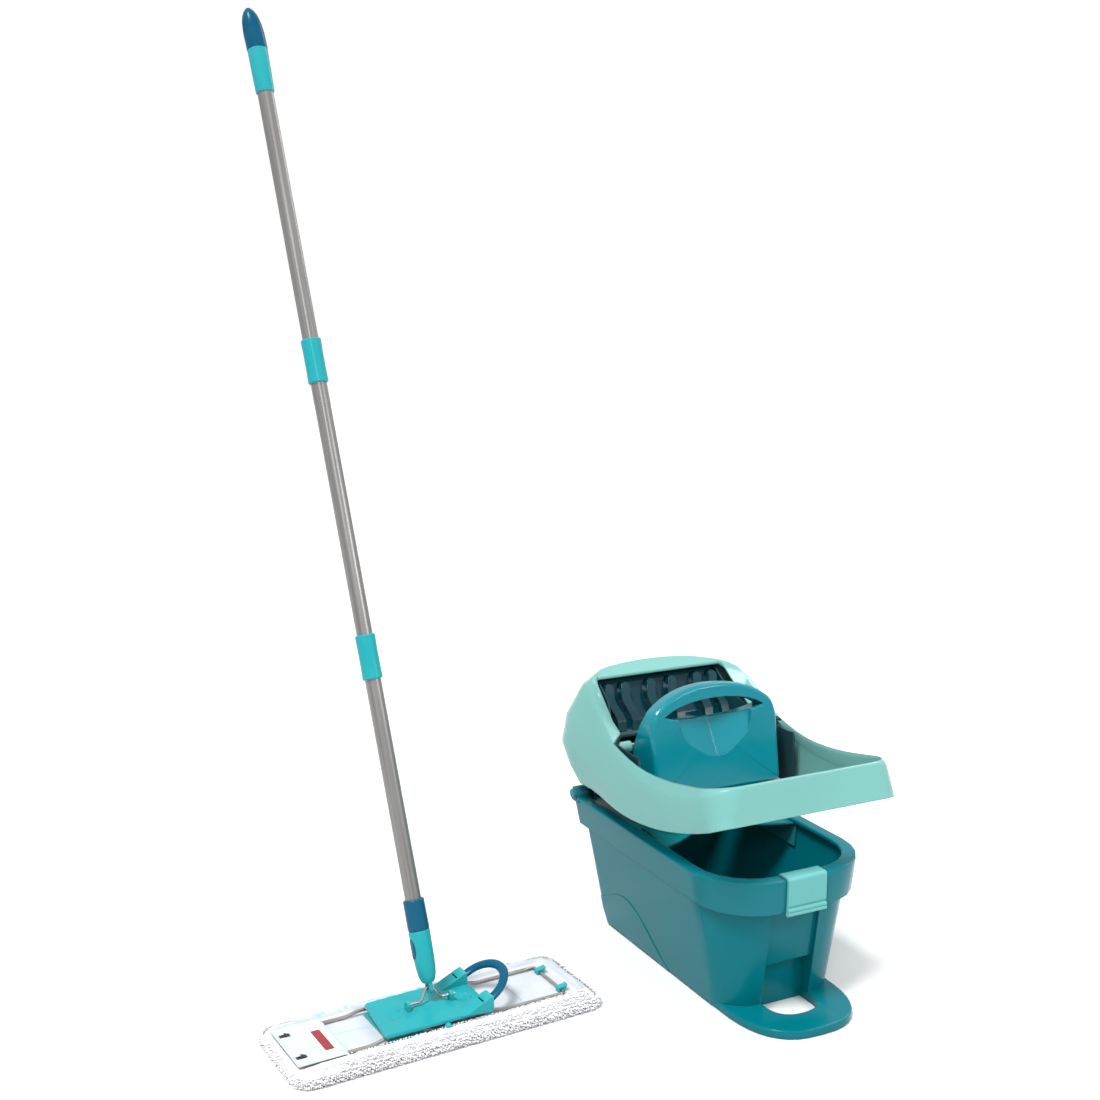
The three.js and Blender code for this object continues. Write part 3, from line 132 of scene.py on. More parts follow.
def handle_frame():
    """Rotation from the row frame to the handle's: x at the button's press, z up along the tubes."""
    x_axis = joint_axis("click_button_press")
    y_axis = joint_axis("handle_side_tilt")
    z_axis = x_axis.cross(y_axis).normalized()
    return Matrix((x_axis, y_axis, z_axis)).to_4x4()


HANDLE_TURN = handle_frame()

COVER_LOW, _ = extent_in_mop("cover_left")
HALF_LONG = -COVER_LOW[0]
HALF_WIDE = -COVER_LOW[1]
COVER_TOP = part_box("cover_left")[1].z
# The bed is the stretch of the cover that the wires press flat. The cover folds across it at FOLD_U.
BED_TOP = 13.6 * MM
BED_HALF = 50 * MM
BED_LEFT = -207 * MM
BED_RIGHT = 193 * MM
FOLD_U = -5 * MM
UNDERSIDE = 0.4 * MM
LEFT_HINGE_U = in_mop(joint_place("left_wing_fold")).x
RIGHT_HINGE_U = in_mop(joint_place("right_wing_fold")).x


# ------------------------------------------------------------------ colours and material helpers
def shade(hex_colour):
    """Linear RGBA of an sRGB hex number."""
    channels = [(hex_colour >> shift & 255) / 255 for shift in (16, 8, 0)]
    return [c / 12.92 if c < 0.04045 else ((c + 0.055) / 1.055) ** 2.4 for c in channels] + [1.0]


class Nodes:
    """Short way to write a node material."""

    def __init__(self, name):
        self.material = bpy.data.materials.new(name)
        self.material.use_nodes = True
        self.tree = self.material.node_tree
        self.shader = self.tree.nodes["Principled BSDF"]

    def add(self, kind, inputs=None, **settings):
        node = self.tree.nodes.new("ShaderNode" + kind)
        for key, value in settings.items():
            setattr(node, key, value)
        for key, value in (inputs or {}).items():
            if isinstance(value, bpy.types.NodeSocket):
                self.tree.links.new(value, node.inputs[key])
            else:
                node.inputs[key].default_value = value
        return node

    def link(self, source, target):
        self.tree.links.new(source, target)

    def set(self, **values):
        for key, value in values.items():
            self.shader.inputs[key.replace("_", " ")].default_value = value

    def row_place(self):
        return self.add("TexCoord").outputs["Object"]

    def placed(self, matrix, scale=(1, 1, 1)):
        """Object coordinates carried into another frame, then stretched."""
        location, rotation, _ = matrix.decompose()
        turned = self.add("Mapping", {"Vector": self.row_place(), "Location": location,
                                      "Rotation": rotation.to_euler()})
        return self.add("VectorMath", {0: turned.outputs[0], 1: scale}, operation="MULTIPLY").outputs[0]

    def noise(self, place, scale, detail, rough=0.5):
        return self.add("TexNoise", {"Vector": place, "Scale": scale, "Detail": detail,
                                     "Roughness": rough}).outputs["Fac"]

    def remap(self, value, low, high, new_low, new_high):
        return self.add("MapRange", {"Value": value, "From Min": low, "From Max": high,
                                     "To Min": new_low, "To Max": new_high}).outputs["Result"]

    def maths(self, operation, first, second=0.0):
        return self.add("Math", {0: first, 1: second}, operation=operation).outputs[0]

    def mix(self, share, first, second):
        """Colour mix. Inputs 6 and 7 and output 2 are the colour sockets of a Mix node."""
        node = self.add("Mix", data_type="RGBA")
        for index, value in ((0, share), (6, first), (7, second)):
            if isinstance(value, bpy.types.NodeSocket):
                self.link(value, node.inputs[index])
            else:
                node.inputs[index].default_value = value
        return node.outputs[2]

    def bump(self, height, strength, distance, normal=None):
        inputs = {"Height": height, "Strength": strength, "Distance": distance}
        if normal is not None:
            inputs["Normal"] = normal
        return self.add("Bump", inputs).outputs[0]

    def band(self, value, low, high, soft):
        """1 between low and high, 0 outside, with soft edges."""
        up = self.remap(value, low - soft, low + soft, 0, 1)
        down = self.remap(value, high - soft, high + soft, 1, 0)
        return self.maths("MULTIPLY", up, down)

    def finish(self, colour, rough, normal):
        self.link(colour, self.shader.inputs["Base Color"])
        self.link(rough, self.shader.inputs["Roughness"])
        self.link(normal, self.shader.inputs["Normal"])
        return self.material


def moulded_plastic(name, colour, rough, edge=0.8, ior=1.22):
    """Injection-moulded plastic: faint flow clouds, fine surface skin, rub marks and paler worn edges.

    The edges are rounded to a radius of edge millimetres. The usual ior is lower than that of real plastic,
    so that the white surroundings don't turn the dark colours grey.
    """
    n = Nodes(name)
    place = n.row_place()
    base = shade(colour)
    darker = [c * 0.95 for c in base[:3]] + [1]
    lighter = [c + (0.045 + c * 0.04) for c in base[:3]] + [1]
    clouds = n.noise(place, 5, 2)
    body = n.mix(n.remap(clouds, 0.3, 0.7, 0, 1), darker, base)
    wear = n.add("NewGeometry").outputs["Pointiness"]
    worn = n.mix(n.remap(wear, 0.53, 0.64, 0, 0.35), body, lighter)
    skin = n.noise(place, 1400, 2)
    rubs = n.noise(n.add("Mapping", {"Vector": place, "Scale": (40, 260, 90)}).outputs[0], 1, 5, 0.7)
    roughness = n.remap(rubs, 0.3, 0.75, rough - 0.02, rough + 0.04)
    rounded = n.add("Bevel", {"Radius": edge * MM}, samples=4).outputs[0]
    normal = n.bump(skin, 0.04, 0.0002, rounded)
    n.set(Specular_IOR_Level=0.5, IOR=ior)
    return n.finish(worn, roughness, normal)


def drawn_tube(name):
    """Grey lacquered tube with the faint lengthwise lines of drawing and a few rub marks."""
    n = Nodes(name)
    lines = n.placed(HANDLE_TURN, (420, 420, 3))
    long_lines = n.noise(lines, 1, 4, 0.6)
    clouds = n.noise(n.row_place(), 14, 3)
    mixed = n.mix(n.remap(long_lines, 0.35, 0.65, 0, 1), shade(0x757473), shade(0x8C8B8A))
    colour = n.mix(n.remap(clouds, 0.4, 0.75, 0, 0.35), mixed, shade(0x737270))
    roughness = n.remap(long_lines, 0.3, 0.7, 0.30, 0.42)
    normal = n.bump(long_lines, 0.12, 0.0002)
    n.set(Metallic=0.62, IOR=1.5, Coat_Weight=0.2, Coat_Roughness=0.25)
    return n.finish(colour, roughness, normal)


def bright_wire(name, colour, rough=0.22):
    """Plated steel wire: slight dulling and short draw marks."""
    n = Nodes(name)
    place = n.row_place()
    marks = n.noise(place, 900, 4, 0.65)
    clouds = n.noise(place, 60, 3)
    base = shade(colour)
    dull = [c * 0.72 for c in base[:3]] + [1]
    mixed = n.mix(n.remap(clouds, 0.4, 0.7, 0, 1), base, dull)
    roughness = n.remap(marks, 0.3, 0.7, rough - 0.05, rough + 0.14)
    normal = n.bump(marks, 0.15, 0.0001)
    n.set(Metallic=0.9)
    return n.finish(mixed, roughness, normal)


WAVE_PERIOD = 0.314  # length of one band of a wave texture at scale 1


def woven(n, pitch):
    """Height of a plain weave: threads along u and v, from the cloth's own UV map in metres."""
    threads = {"Vector": n.add("UVMap", uv_map="cloth").outputs[0], "Scale": WAVE_PERIOD / pitch,
               "Distortion": 0.4, "Detail": 1.0}
    across, along = [n.add("TexWave", threads, bands_direction=way).outputs["Fac"] for way in "XY"]
    return n.maths("MAXIMUM", across, along)


# Marks on the woven cloth, from and to, in metres of the cloth's UV map.
DASHES_U, DASHES_V = (-0.185, 0.070), (0.057, 0.071)
STRIPE_U, STRIPE_SLOPE = (-0.142, -0.08), -0.10
SEAM_U, SEAM_V = (0.1185, 0.1193), (-0.046, 0.046)
COVER_WEAVE = 0.0011


def cover_cloth():
    """White looped pile on the sides and smooth woven cloth on top, with printed marks and one seam."""
    n = Nodes("cover_cloth")
    place = n.row_place()
    uv = n.add("SeparateXYZ", {0: n.add("UVMap", uv_map="cloth").outputs[0]})
    u, v = uv.outputs["X"], uv.outputs["Y"]
    woven_share = n.add("Attribute", attribute_name="woven").outputs["Fac"]
    clouds = n.noise(place, 26, 4)
    pile_white = n.mix(n.remap(clouds, 0.35, 0.7, 0, 1), shade(0xDEDEE1), shade(0xD0D0D5))
    border = n.mix(n.remap(clouds, 0.35, 0.7, 0, 1), shade(0xBCC1C7), shade(0xB0B7BF))
    stretched = n.add("CombineXYZ", {"X": n.maths("MULTIPLY", u, 95.0), "Y": n.maths("MULTIPLY", v, 230.0)})
    spots = n.add("TexNoise", {"Vector": stretched.outputs[0], "Scale": 1, "Detail": 2}).outputs["Fac"]
    dashes = n.remap(spots, 0.50, 0.60, 0, 1)
    printed = n.maths("MULTIPLY", n.band(v, *DASHES_V, 0.002), n.band(u, *DASHES_U, 0.02))
    cyan = n.maths("MULTIPLY", dashes, n.maths("MULTIPLY", printed, 0.95))
    cloth = n.mix(cyan, border, shade(0x6FB4BE))
    from_line = n.maths("ABSOLUTE", n.maths("SUBTRACT", v, n.maths("MULTIPLY", u, STRIPE_SLOPE)))
    stripe = n.maths("MULTIPLY", n.band(u, *STRIPE_U, 0.003), n.remap(from_line, 0.001, 0.004, 0.5, 0))
    cloth = n.mix(stripe, cloth, shade(0x8DB4C6))
    seam = n.maths("MULTIPLY", n.band(u, *SEAM_U, 0.0004), n.band(v, *SEAM_V, 0.001))
    cloth = n.mix(n.maths("MULTIPLY", seam, 0.75), cloth, shade(0x6E7074))
    colour = n.mix(woven_share, pile_white, cloth)
    loops = n.add("TexVoronoi", {"Vector": place, "Scale": 420.0}, feature="SMOOTH_F1").outputs["Distance"]
    weave = woven(n, COVER_WEAVE)
    fine = n.maths("MULTIPLY", weave, woven_share)
    coarse = n.maths("MULTIPLY", loops, n.maths("SUBTRACT", 1.0, woven_share))
    normal = n.bump(coarse, 0.45, 0.0012, n.bump(fine, 0.35, 0.0003))
    n.set(Specular_IOR_Level=0.2, Sheen_Weight=0.35, Sheen_Roughness=0.5, Subsurface_Weight=0.12,
          Subsurface_Radius=(0.004, 0.004, 0.004), Subsurface_Scale=1.0)
    return n.finish(colour, n.remap(clouds, 0.3, 0.7, 0.82, 0.95), normal)


def pile_yarn():
    """Loose microfibre yarn of the pile."""
    n = Nodes("pile_yarn")
    place = n.row_place()
    clouds = n.noise(place, 60, 3)
    fibres = n.noise(n.add("Mapping", {"Vector": place, "Scale": (1800, 1800, 900)}).outputs[0], 1, 3)
    colour = n.mix(n.remap(clouds, 0.3, 0.7, 0, 1), shade(0xE8E8EA), shade(0xD8D8DC))
    normal = n.bump(fibres, 0.5, 0.0004)
    n.set(Specular_IOR_Level=0.15, Sheen_Weight=0.4, Sheen_Roughness=0.5, Subsurface_Weight=0.15,
          Subsurface_Radius=(0.003, 0.003, 0.003), Subsurface_Scale=1.0)
    return n.finish(colour, n.remap(fibres, 0.3, 0.7, 0.85, 0.97), normal)


def plain_cloth(name, colour, second, pitch):
    """Woven polyester in two close colours, its threads a pitch apart on the cloth's own UV map."""
    n = Nodes(name)
    clouds = n.noise(n.row_place(), 40, 4)
    weave = woven(n, pitch)
    colours = n.mix(n.remap(clouds, 0.3, 0.7, 0, 1), shade(colour), shade(second))
    shadowed = n.mix(n.remap(weave, 0.2, 0.8, 0.18, 0), colours, shade(0x9A9DA6))
    normal = n.bump(weave, 0.35, 0.0003)
    n.set(Specular_IOR_Level=0.2, Sheen_Weight=0.25, Sheen_Roughness=0.5)
    return n.finish(shadowed, n.remap(clouds, 0.3, 0.7, 0.78, 0.9), normal)


def sewn_label_cloth():
    """Blank woven label: a red field inside a pale border, with no lettering."""
    n = Nodes("label_cloth")
    low, high = extent_in_mop("sewn_label")
    uv = n.add("SeparateXYZ", {0: n.placed(FRAME_OF_MOP_INVERSE)})
    margin = 3.2 * MM
    field = n.maths("MULTIPLY", n.band(uv.outputs["X"], low[0] + margin, high[0] - margin, 0.0002),
                    n.band(uv.outputs["Y"], low[1] + margin, high[1] - margin, 0.0002))
    per_metre = 900
    threads = n.add("TexWave", {"Vector": n.placed(FRAME_OF_MOP_INVERSE, [per_metre] * 3), "Scale": 0.35,
                                "Distortion": 0.5}, bands_direction="Y").outputs["Fac"]
    red = n.mix(threads, shade(0x7C151D), shade(0x8E262E))
    pale = n.mix(threads, shade(0xEDEBEA), shade(0xDAD8D8))
    n.set(Specular_IOR_Level=0.25, Sheen_Weight=0.2)
    roughness = n.remap(threads, 0, 1, 0.6, 0.75)
    return n.finish(n.mix(field, pale, red), roughness, n.bump(threads, 0.3, 0.0002))


def studio_floor():
    """Pale paper with a fine grain."""
    n = Nodes("floor_paper")
    place = n.row_place()
    clouds = n.noise(place, 1.5, 2)
    grain = n.noise(place, 700, 2)
    colour = n.mix(n.remap(clouds, 0.3, 0.7, 0, 1), shade(0xD9D9D9), shade(0xD5D6D6))
    n.set(Specular_IOR_Level=0.15)
    return n.finish(colour, n.remap(grain, 0.3, 0.7, 0.85, 0.95), n.bump(grain, 0.1, 0.0002))


PLASTICS = {
    "tub_teal": moulded_plastic("tub_plastic", 0x00646E, 0.20, 1.8),
    "tray_teal": moulded_plastic("tray_plastic", 0x056B72, 0.28),
    "press_mint": moulded_plastic("press_plastic", 0x6AA09B, 0.18, 2.6),
    "latch_mint": moulded_plastic("latch_plastic", 0x559B9A, 0.20),
    # Painted shade: the chassis is the tub's teal plastic, darkened almost to black to stand for the shade it sits
    # in inside the press.
    "chassis_teal": moulded_plastic("chassis_plastic_painted_shade", 0x002F38, 0.16, ior=1.34),
    "lever_teal": moulded_plastic("lever_plastic", 0x007380, 0.16, 2.4, ior=1.42),
    "jaw_teal": moulded_plastic("jaw_plastic", 0x05585E, 0.4),
    "turquoise": moulded_plastic("turquoise_plastic", 0x219299, 0.20, 0.6),
    "navy": moulded_plastic("blue_plastic", 0x004C68, 0.22, 0.7),
}
METALS = {
    "tube_metal": drawn_tube("tube_lacquer"),
    "pin_steel": bright_wire("pin_steel", 0xB8B6B2),
    "wire_steel": bright_wire("wire_steel", 0xB5AFA8, 0.2),
    "screw_steel": bright_wire("screw_steel", 0x8A8F93, 0.3),
}
WELD_DISTANCE = 2e-6
SHARP_ANGLE = 33
CRISP_ANGLE = 14  # for nodes whose shallow creases show as edges
CRISP_NODES = ("press_lever",)


# ------------------------------------------------------------------ finish of the CAD nodes
def smooth_finish(name, sharp_degrees):
    """Geometry nodes that weld a CAD mesh and shade it smooth, except over its sharp edges."""
    group = bpy.data.node_groups.new(name, "GeometryNodeTree")
    group.interface.new_socket("Geometry", in_out="INPUT", socket_type="NodeSocketGeometry")
    group.interface.new_socket("Geometry", in_out="OUTPUT", socket_type="NodeSocketGeometry")
    make = group.nodes.new
    start, end = make("NodeGroupInput"), make("NodeGroupOutput")
    weld = make("GeometryNodeMergeByDistance")
    weld.inputs["Distance"].default_value = WELD_DISTANCE
    every = make("GeometryNodeSetShadeSmooth")
    angle = make("GeometryNodeInputMeshEdgeAngle")
    sharp = make("FunctionNodeCompare")
    sharp.operation = "GREATER_THAN"
    sharp.inputs[1].default_value = math.radians(sharp_degrees)
    edges = make("GeometryNodeSetShadeSmooth")
    edges.domain = "EDGE"
    edges.inputs["Shade Smooth"].default_value = False
    join = group.links.new
    join(start.outputs[0], weld.inputs["Geometry"])
    join(weld.outputs["Geometry"], every.inputs["Geometry"])
    join(every.outputs["Geometry"], edges.inputs["Geometry"])
    join(angle.outputs["Unsigned Angle"], sharp.inputs[0])
    join(sharp.outputs[0], edges.inputs["Selection"])
    join(edges.outputs["Geometry"], end.inputs[0])
    return group


def dress_cad_nodes():
    """Gives each CAD node the material of its slot, and smooth shading.

    A slot that is neither plastic nor metal is the sewn label's, or that of a cloth solid that is replaced.
    """
    usual = smooth_finish("smooth_finish", SHARP_ANGLE)
    crisp = smooth_finish("crisp_finish", CRISP_ANGLE)
    label = sewn_label_cloth()
    hook_black = moulded_plastic("hook_plastic", 0x16181A, 0.35, 0.4)
    finishes = {**PLASTICS, **METALS}
    for part in frame["record"]["subparts"]:
        node = NODES[part["node"]]
        material = finishes.get(part["material_slot"], label)
        if part["node"].startswith("left_hook"):
            material = hook_black
        node.data.materials.clear()
        node.data.materials.append(material)
        if "custom_normal" in node.data.attributes:
            node.data.attributes.remove(node.data.attributes["custom_normal"])
        modifier = node.modifiers.new("smooth_finish", "NODES")
        modifier.node_group = crisp if part["node"] in CRISP_NODES else usual
        weighted = node.modifiers.new("weighted_normals", "WEIGHTED_NORMAL")
        weighted.keep_sharp = True


# ------------------------------------------------------------------ mesh helpers
def put_in_scene(made):
    bpy.context.scene.collection.objects.link(made)
    return made


def smooth_faces(data):
    data.polygons.foreach_set("use_smooth", [True] * len(data.polygons))


def mesh_object(name, spots, faces, material):
    data = bpy.data.meshes.new(name)
    data.from_pydata([tuple(spot) for spot in spots], [], faces)
    data.validate()
    data.materials.append(material)
    smooth_faces(data)
    return put_in_scene(bpy.data.objects.new(name, data))


def apply_modifiers(piece):
    """Leaves the evaluated mesh on the piece, with no modifier."""
    graph = bpy.context.evaluated_depsgraph_get()
    made = bpy.data.meshes.new_from_object(piece.evaluated_get(graph))
    piece.modifiers.clear()
    piece.data = made
    return piece


def cloth_map(piece):
    """UV map in metres along the mop's own axes."""
    data = piece.data
    layer = data.uv_layers.new(name="cloth")
    spots = np.array([in_mop(vertex.co)[:2] for vertex in data.vertices], np.float32)
    corners = np.zeros(len(data.loops), np.int32)
    data.loops.foreach_get("vertex_index", corners)
    layer.data.foreach_set("uv", spots[corners].ravel())


def rounded_plan(half_long, half_wide, radius, per_corner=8):
    """Points of a rounded rectangle about the cover's centre, counter-clockwise, in (u, v)."""
    plan = []
    for quarter, (su, sv) in enumerate(((1, 1), (-1, 1), (-1, -1), (1, -1))):
        for step in range(per_corner + 1):
            turn = (quarter + step / per_corner) * math.pi / 2
            plan.append((su * (half_long - radius) + radius * math.cos(turn),
                         sv * (half_wide - radius) + radius * math.sin(turn)))
    return plan


def ring_mesh(name, rings, capped, material):
    """Skin over closed rings of equal length, with the end rings filled if capped and joined if not."""
    count = len(rings[0])
    spots = [spot for ring in rings for spot in ring]
    faces = []
    levels = len(rings)
    for level in range(levels - 1 if capped else levels):
        above = (level + 1) % levels
        for i in range(count):
            j = (i + 1) % count
            faces.append((level * count + i, level * count + j, above * count + j, above * count + i))
    if capped:
        faces.append(tuple(reversed(range(count))))
        faces.append(tuple((levels - 1) * count + i for i in range(count)))
    return mesh_object(name, spots, faces, material)


# ------------------------------------------------------------------ the cloth cover
SLAB_RADIUS = 18 * MM
# Inset from the outline and height of each ring of the bed's slab, in millimetres.
SLAB_LEVELS = ((10, 2), (8, 6), (11, 12))
BORDER_INSET = 17.5 * MM  # from the cover's outline to the middle of its stuffed border
BORDER_MIDDLE = 10.6 * MM
BORDER_HALF_HIGH = 8.6 * MM
BORDER_HALF_BROAD = 15 * MM
BORDER_INNER_RADIUS = 9 * MM
BORDER_SECTIONS = 12


def slab_rings():
    for inset, height in SLAB_LEVELS:
        plan = rounded_plan(HALF_LONG - inset * MM, HALF_WIDE - inset * MM, SLAB_RADIUS)
        yield [mop_spot(u, v, height * MM) for u, v in plan]


def border_rings():
    for i in range(BORDER_SECTIONS):
        turn = 2 * math.pi * i / BORDER_SECTIONS
        out = BORDER_HALF_BROAD * math.cos(turn)
        plan = rounded_plan(HALF_LONG - BORDER_INSET + out, HALF_WIDE - BORDER_INSET + out,
                            BORDER_INNER_RADIUS + (BORDER_HALF_BROAD + out) * 0.5)
        height = BORDER_MIDDLE + BORDER_HALF_HIGH * math.sin(turn)
        yield [mop_spot(u, v, height) for u, v in plan]


def cover_blank(material):
    """Bed slab and stuffed border of the cover in one mesh, a little smaller than they end up."""
    bed = ring_mesh("cover_cloth", list(slab_rings()), True, material)
    border = ring_mesh("border", list(border_rings()), False, material)
    both = bmesh.new()
    both.from_mesh(bed.data)
    both.from_mesh(border.data)
    bmesh.ops.recalc_face_normals(both, faces=both.faces)
    both.to_mesh(bed.data)
    both.free()
    bpy.data.objects.remove(border)
    return bed


CLOTH_PRESSURE = 4.0
CLOTH_QUALITY = 5
CLOTH_FRAMES = 20


def stuffed(piece, voxel, cap):
    """Swells a piece as cloth under pressure, with no point moving further than cap."""
    remesh = piece.modifiers.new("remesh", "REMESH")
    remesh.mode = "VOXEL"
    remesh.voxel_size = voxel
    apply_modifiers(piece)
    rest = np.array([vertex.co for vertex in piece.data.vertices])
    modifier = piece.modifiers.new("cloth", "CLOTH")
    modifier.settings.use_pressure = True
    modifier.settings.uniform_pressure_force = CLOTH_PRESSURE
    modifier.settings.quality = CLOTH_QUALITY
    modifier.settings.effector_weights.gravity = 0
    modifier.point_cache.frame_start = 1
    modifier.point_cache.frame_end = CLOTH_FRAMES
    for number in range(1, CLOTH_FRAMES + 1):
        bpy.context.scene.frame_set(number)
    apply_modifiers(piece)
    bpy.context.scene.frame_set(1)
    moved = np.array([vertex.co for vertex in piece.data.vertices]) - rest
    length = np.linalg.norm(moved, axis=1, keepdims=True)
    moved *= np.minimum(1, cap / np.maximum(length, 1e-9))
    piece.data.vertices.foreach_set("co", (rest + moved).ravel())
    piece.data.update()
    finer = piece.modifiers.new("finer", "SUBSURF")
    finer.levels = finer.render_levels = 1
    return apply_modifiers(piece)


def plan_distance(u, v, half_long, half_wide, radius):
    """Distance inside (negative) or outside the rounded rectangle, for arrays u and v."""
    du = np.abs(u) - (half_long - radius)
    dv = np.abs(v) - (half_wide - radius)
    outside = np.hypot(np.maximum(du, 0), np.maximum(dv, 0))
    return outside + np.minimum(np.maximum(du, dv), 0) - radius


def bed_distance(u, v):
    """Distance outside the bed's rectangle, for arrays u and v."""
    middle = (BED_LEFT + BED_RIGHT) / 2
    return plan_distance(u - middle, v, (BED_RIGHT - BED_LEFT) / 2, BED_HALF, 6 * MM)


def wave_field(u, v, seed):
    """Smooth small-scale unevenness, mostly between -1 and 1, from a few sine waves."""
    draw = random.Random(seed)
    total = np.zeros_like(u)
    waves = 9
    for _ in range(waves):
        turn = draw.uniform(0, 2 * math.pi)
        pitch = draw.uniform(0.018, 0.07)
        phase = draw.uniform(0, 2 * math.pi)
        total += np.sin((u * math.cos(turn) + v * math.sin(turn)) * 2 * math.pi / pitch + phase)
    return total / waves ** 0.5 / 1.6


def settle_cover(piece):
    """Flat underside, a bed pressed flat below the wires, a hand-sewn uneven border."""
    matrix = np.array(FRAME_OF_MOP)
    spots = np.array([vertex.co for vertex in piece.data.vertices])
    local = (spots - matrix[:3, 3]) @ matrix[:3, :3]
    u, v, z = local[:, 0], local[:, 1], local[:, 2]
    beyond = bed_distance(u, v)
    on_top = z > 9 * MM
    uneven = wave_field(u, v, 11)
    z = np.where(on_top & (beyond > 0), z + 0.5 * MM * uneven, z)
    sink = np.clip(beyond / (9 * MM), 0, 1)
    sink = sink * sink * (3 - 2 * sink)
    ceiling = BED_TOP + (COVER_TOP + 0.4 * MM - BED_TOP) * sink
    z = np.where(on_top, np.minimum(z, ceiling), z)
    z = np.where(on_top & (beyond < 0), np.maximum(z, BED_TOP - 0.5 * MM + 0.2 * MM * uneven), z)
    local[:, 2] = np.maximum(z, UNDERSIDE)
    piece.data.vertices.foreach_set("co", (local @ matrix[:3, :3].T + matrix[:3, 3]).ravel())
    piece.data.update()
    woven_top(piece, local, beyond)
    return piece


def woven_top(piece, local, beyond):
    """Marks where the smooth woven cloth shows: the bed and the border, but not the fluffy front edge."""
    u, v, z = local.T
    inside = plan_distance(u, v, HALF_LONG, HALF_WIDE, 24 * MM)
    up = np.clip((z - 15 * MM) / (3 * MM), 0, 1)
    bed = np.clip(1 - beyond / (5 * MM), 0, 1) * (z > 10 * MM)
    rim = np.clip((-inside - 7 * MM) / (3 * MM), 0, 1)
    front = np.clip((v + 56 * MM) / (4 * MM), 0, 1)
    left_end = np.clip((-u - 135 * MM) / (40 * MM), 0, 1)
    share = np.maximum(bed, up * rim * np.maximum(front, left_end))
    attribute = piece.data.attributes.new("woven", "FLOAT", "POINT")
    attribute.data.foreach_set("value", share.astype(np.float32))


def half_of(piece, name, side):
    """The left (-1) or right (1) half of a piece, cut at the fold and closed."""
    half = put_in_scene(piece.copy())
    half.data = piece.data.copy()
    half.name = name
    mesh = bmesh.new()
    mesh.from_mesh(half.data)
    bmesh.ops.bisect_plane(mesh, geom=mesh.verts[:] + mesh.edges[:] + mesh.faces[:], dist=1e-6,
                           plane_co=mop_spot(FOLD_U, 0, 0), plane_no=U_AXIS * side, clear_inner=True)
    edges = [edge for edge in mesh.edges if edge.is_boundary]
    bmesh.ops.holes_fill(mesh, edges=edges)
    bmesh.ops.triangulate(mesh, faces=[face for face in mesh.faces if len(face.verts) > 4])
    mesh.to_mesh(half.data)
    mesh.free()
    return half


def bend_with_wing(piece, side):
    """Bakes the piece's placement into its mesh. The cloth is not bent with the head or its wing."""
    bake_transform(piece)


def make_cover():
    """Simulates the whole cover, then cuts it at the fold into halves that stand for the CAD solids."""
    whole = settle_cover(stuffed(cover_blank(cover_cloth()), voxel=4.2 * MM, cap=4 * MM))
    halves = (("cloth_cover_left", "cover_left", -1), ("cloth_cover_right", "cover_right", 1))
    for name, node, side in halves:
        half = half_of(whole, name, side)
        cloth_map(half)
        smooth_faces(half.data)
        bend_with_wing(half, side)
        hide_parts(node)
    bpy.data.objects.remove(whole)


# ------------------------------------------------------------------ pile of the cover
def yarn_loop(root, out, along, up, length, thickness, draw):
    """Spots of one small yarn loop that leaves the cloth, droops and turns back."""
    steps = 7
    side = draw.uniform(0.25, 0.55) * length * draw.choice((-1, 1))
    droop = draw.uniform(0.10, 0.35) * length
    sections = []
    for i in range(steps):
        t = i / (steps - 1)
        reach = math.sin(math.pi * t) * length
        centre = root + out * reach + along * side * (t - 0.5) - up * droop * math.sin(math.pi * t) ** 2
        radius = thickness * (0.75 + 0.25 * math.sin(math.pi * t))
        sections.append((centre, radius))
    return sections


def yarn_mesh(sections, spots, faces):
    """Adds a tube with five sides through the sections."""
    sides = 5
    first = len(spots)
    for i, (centre, radius) in enumerate(sections):
        ahead = sections[min(i + 1, len(sections) - 1)][0] - sections[max(i - 1, 0)][0]
        across = ahead.cross(Vector((0.31, 0.17, 0.93))).normalized()
        other = ahead.normalized().cross(across)
        for k in range(sides):
            turn = 2 * math.pi * k / sides
            spots.append(centre + (across * math.cos(turn) + other * math.sin(turn)) * radius)
    for i in range(len(sections) - 1):
        for k in range(sides):
            after = (k + 1) % sides
            a, b = first + i * sides, first + (i + 1) * sides
            faces.append((a + k, a + after, b + after, b + k))
    last = first + (len(sections) - 1) * sides
    faces.append(tuple(first + k for k in reversed(range(sides))))
    faces.append(tuple(last + k for k in range(sides)))


WALK_INSET = 4 * MM


def edge_walk(spacing):
    """Evenly spaced places just inside the cover's outline: (u, v), outward direction, direction along."""
    plan = rounded_plan(HALF_LONG - WALK_INSET, HALF_WIDE - WALK_INSET, 22 * MM, 10)
    plan.append(plan[0])
    carried = 0.0
    for (u0, v0), (u1, v1) in zip(plan, plan[1:]):
        run = math.hypot(u1 - u0, v1 - v0)
        if run < 1e-9:
            continue
        du, dv = (u1 - u0) / run, (v1 - v0) / run
        place = spacing - carried
        while place <= run:
            yield (u0 + du * place, v0 + dv * place), (dv, -du), (du, dv)
            place += spacing
        carried = run - (place - spacing)


LOOP_SPACING = 2.6 * MM
# Height, distance inside the walk and length of the loops in each row round the sides, in millimetres.
SIDE_ROWS = ((2.6, 1.5, 4.2), (5.4, 0.9, 4.8), (8.4, 0.7, 4.8), (11.4, 1.0, 4.4), (14.4, 2.2, 3.8))
FRONT_ROWS = 7
FRONT_LOOPS = 150  # in each front row
FRONT_END = 20 * MM  # free of loops at each end of a front row
# Left of THIN_FROM the front loops thin out, over the length THIN_OVER.
THIN_FROM = -135 * MM
THIN_OVER = 70 * MM


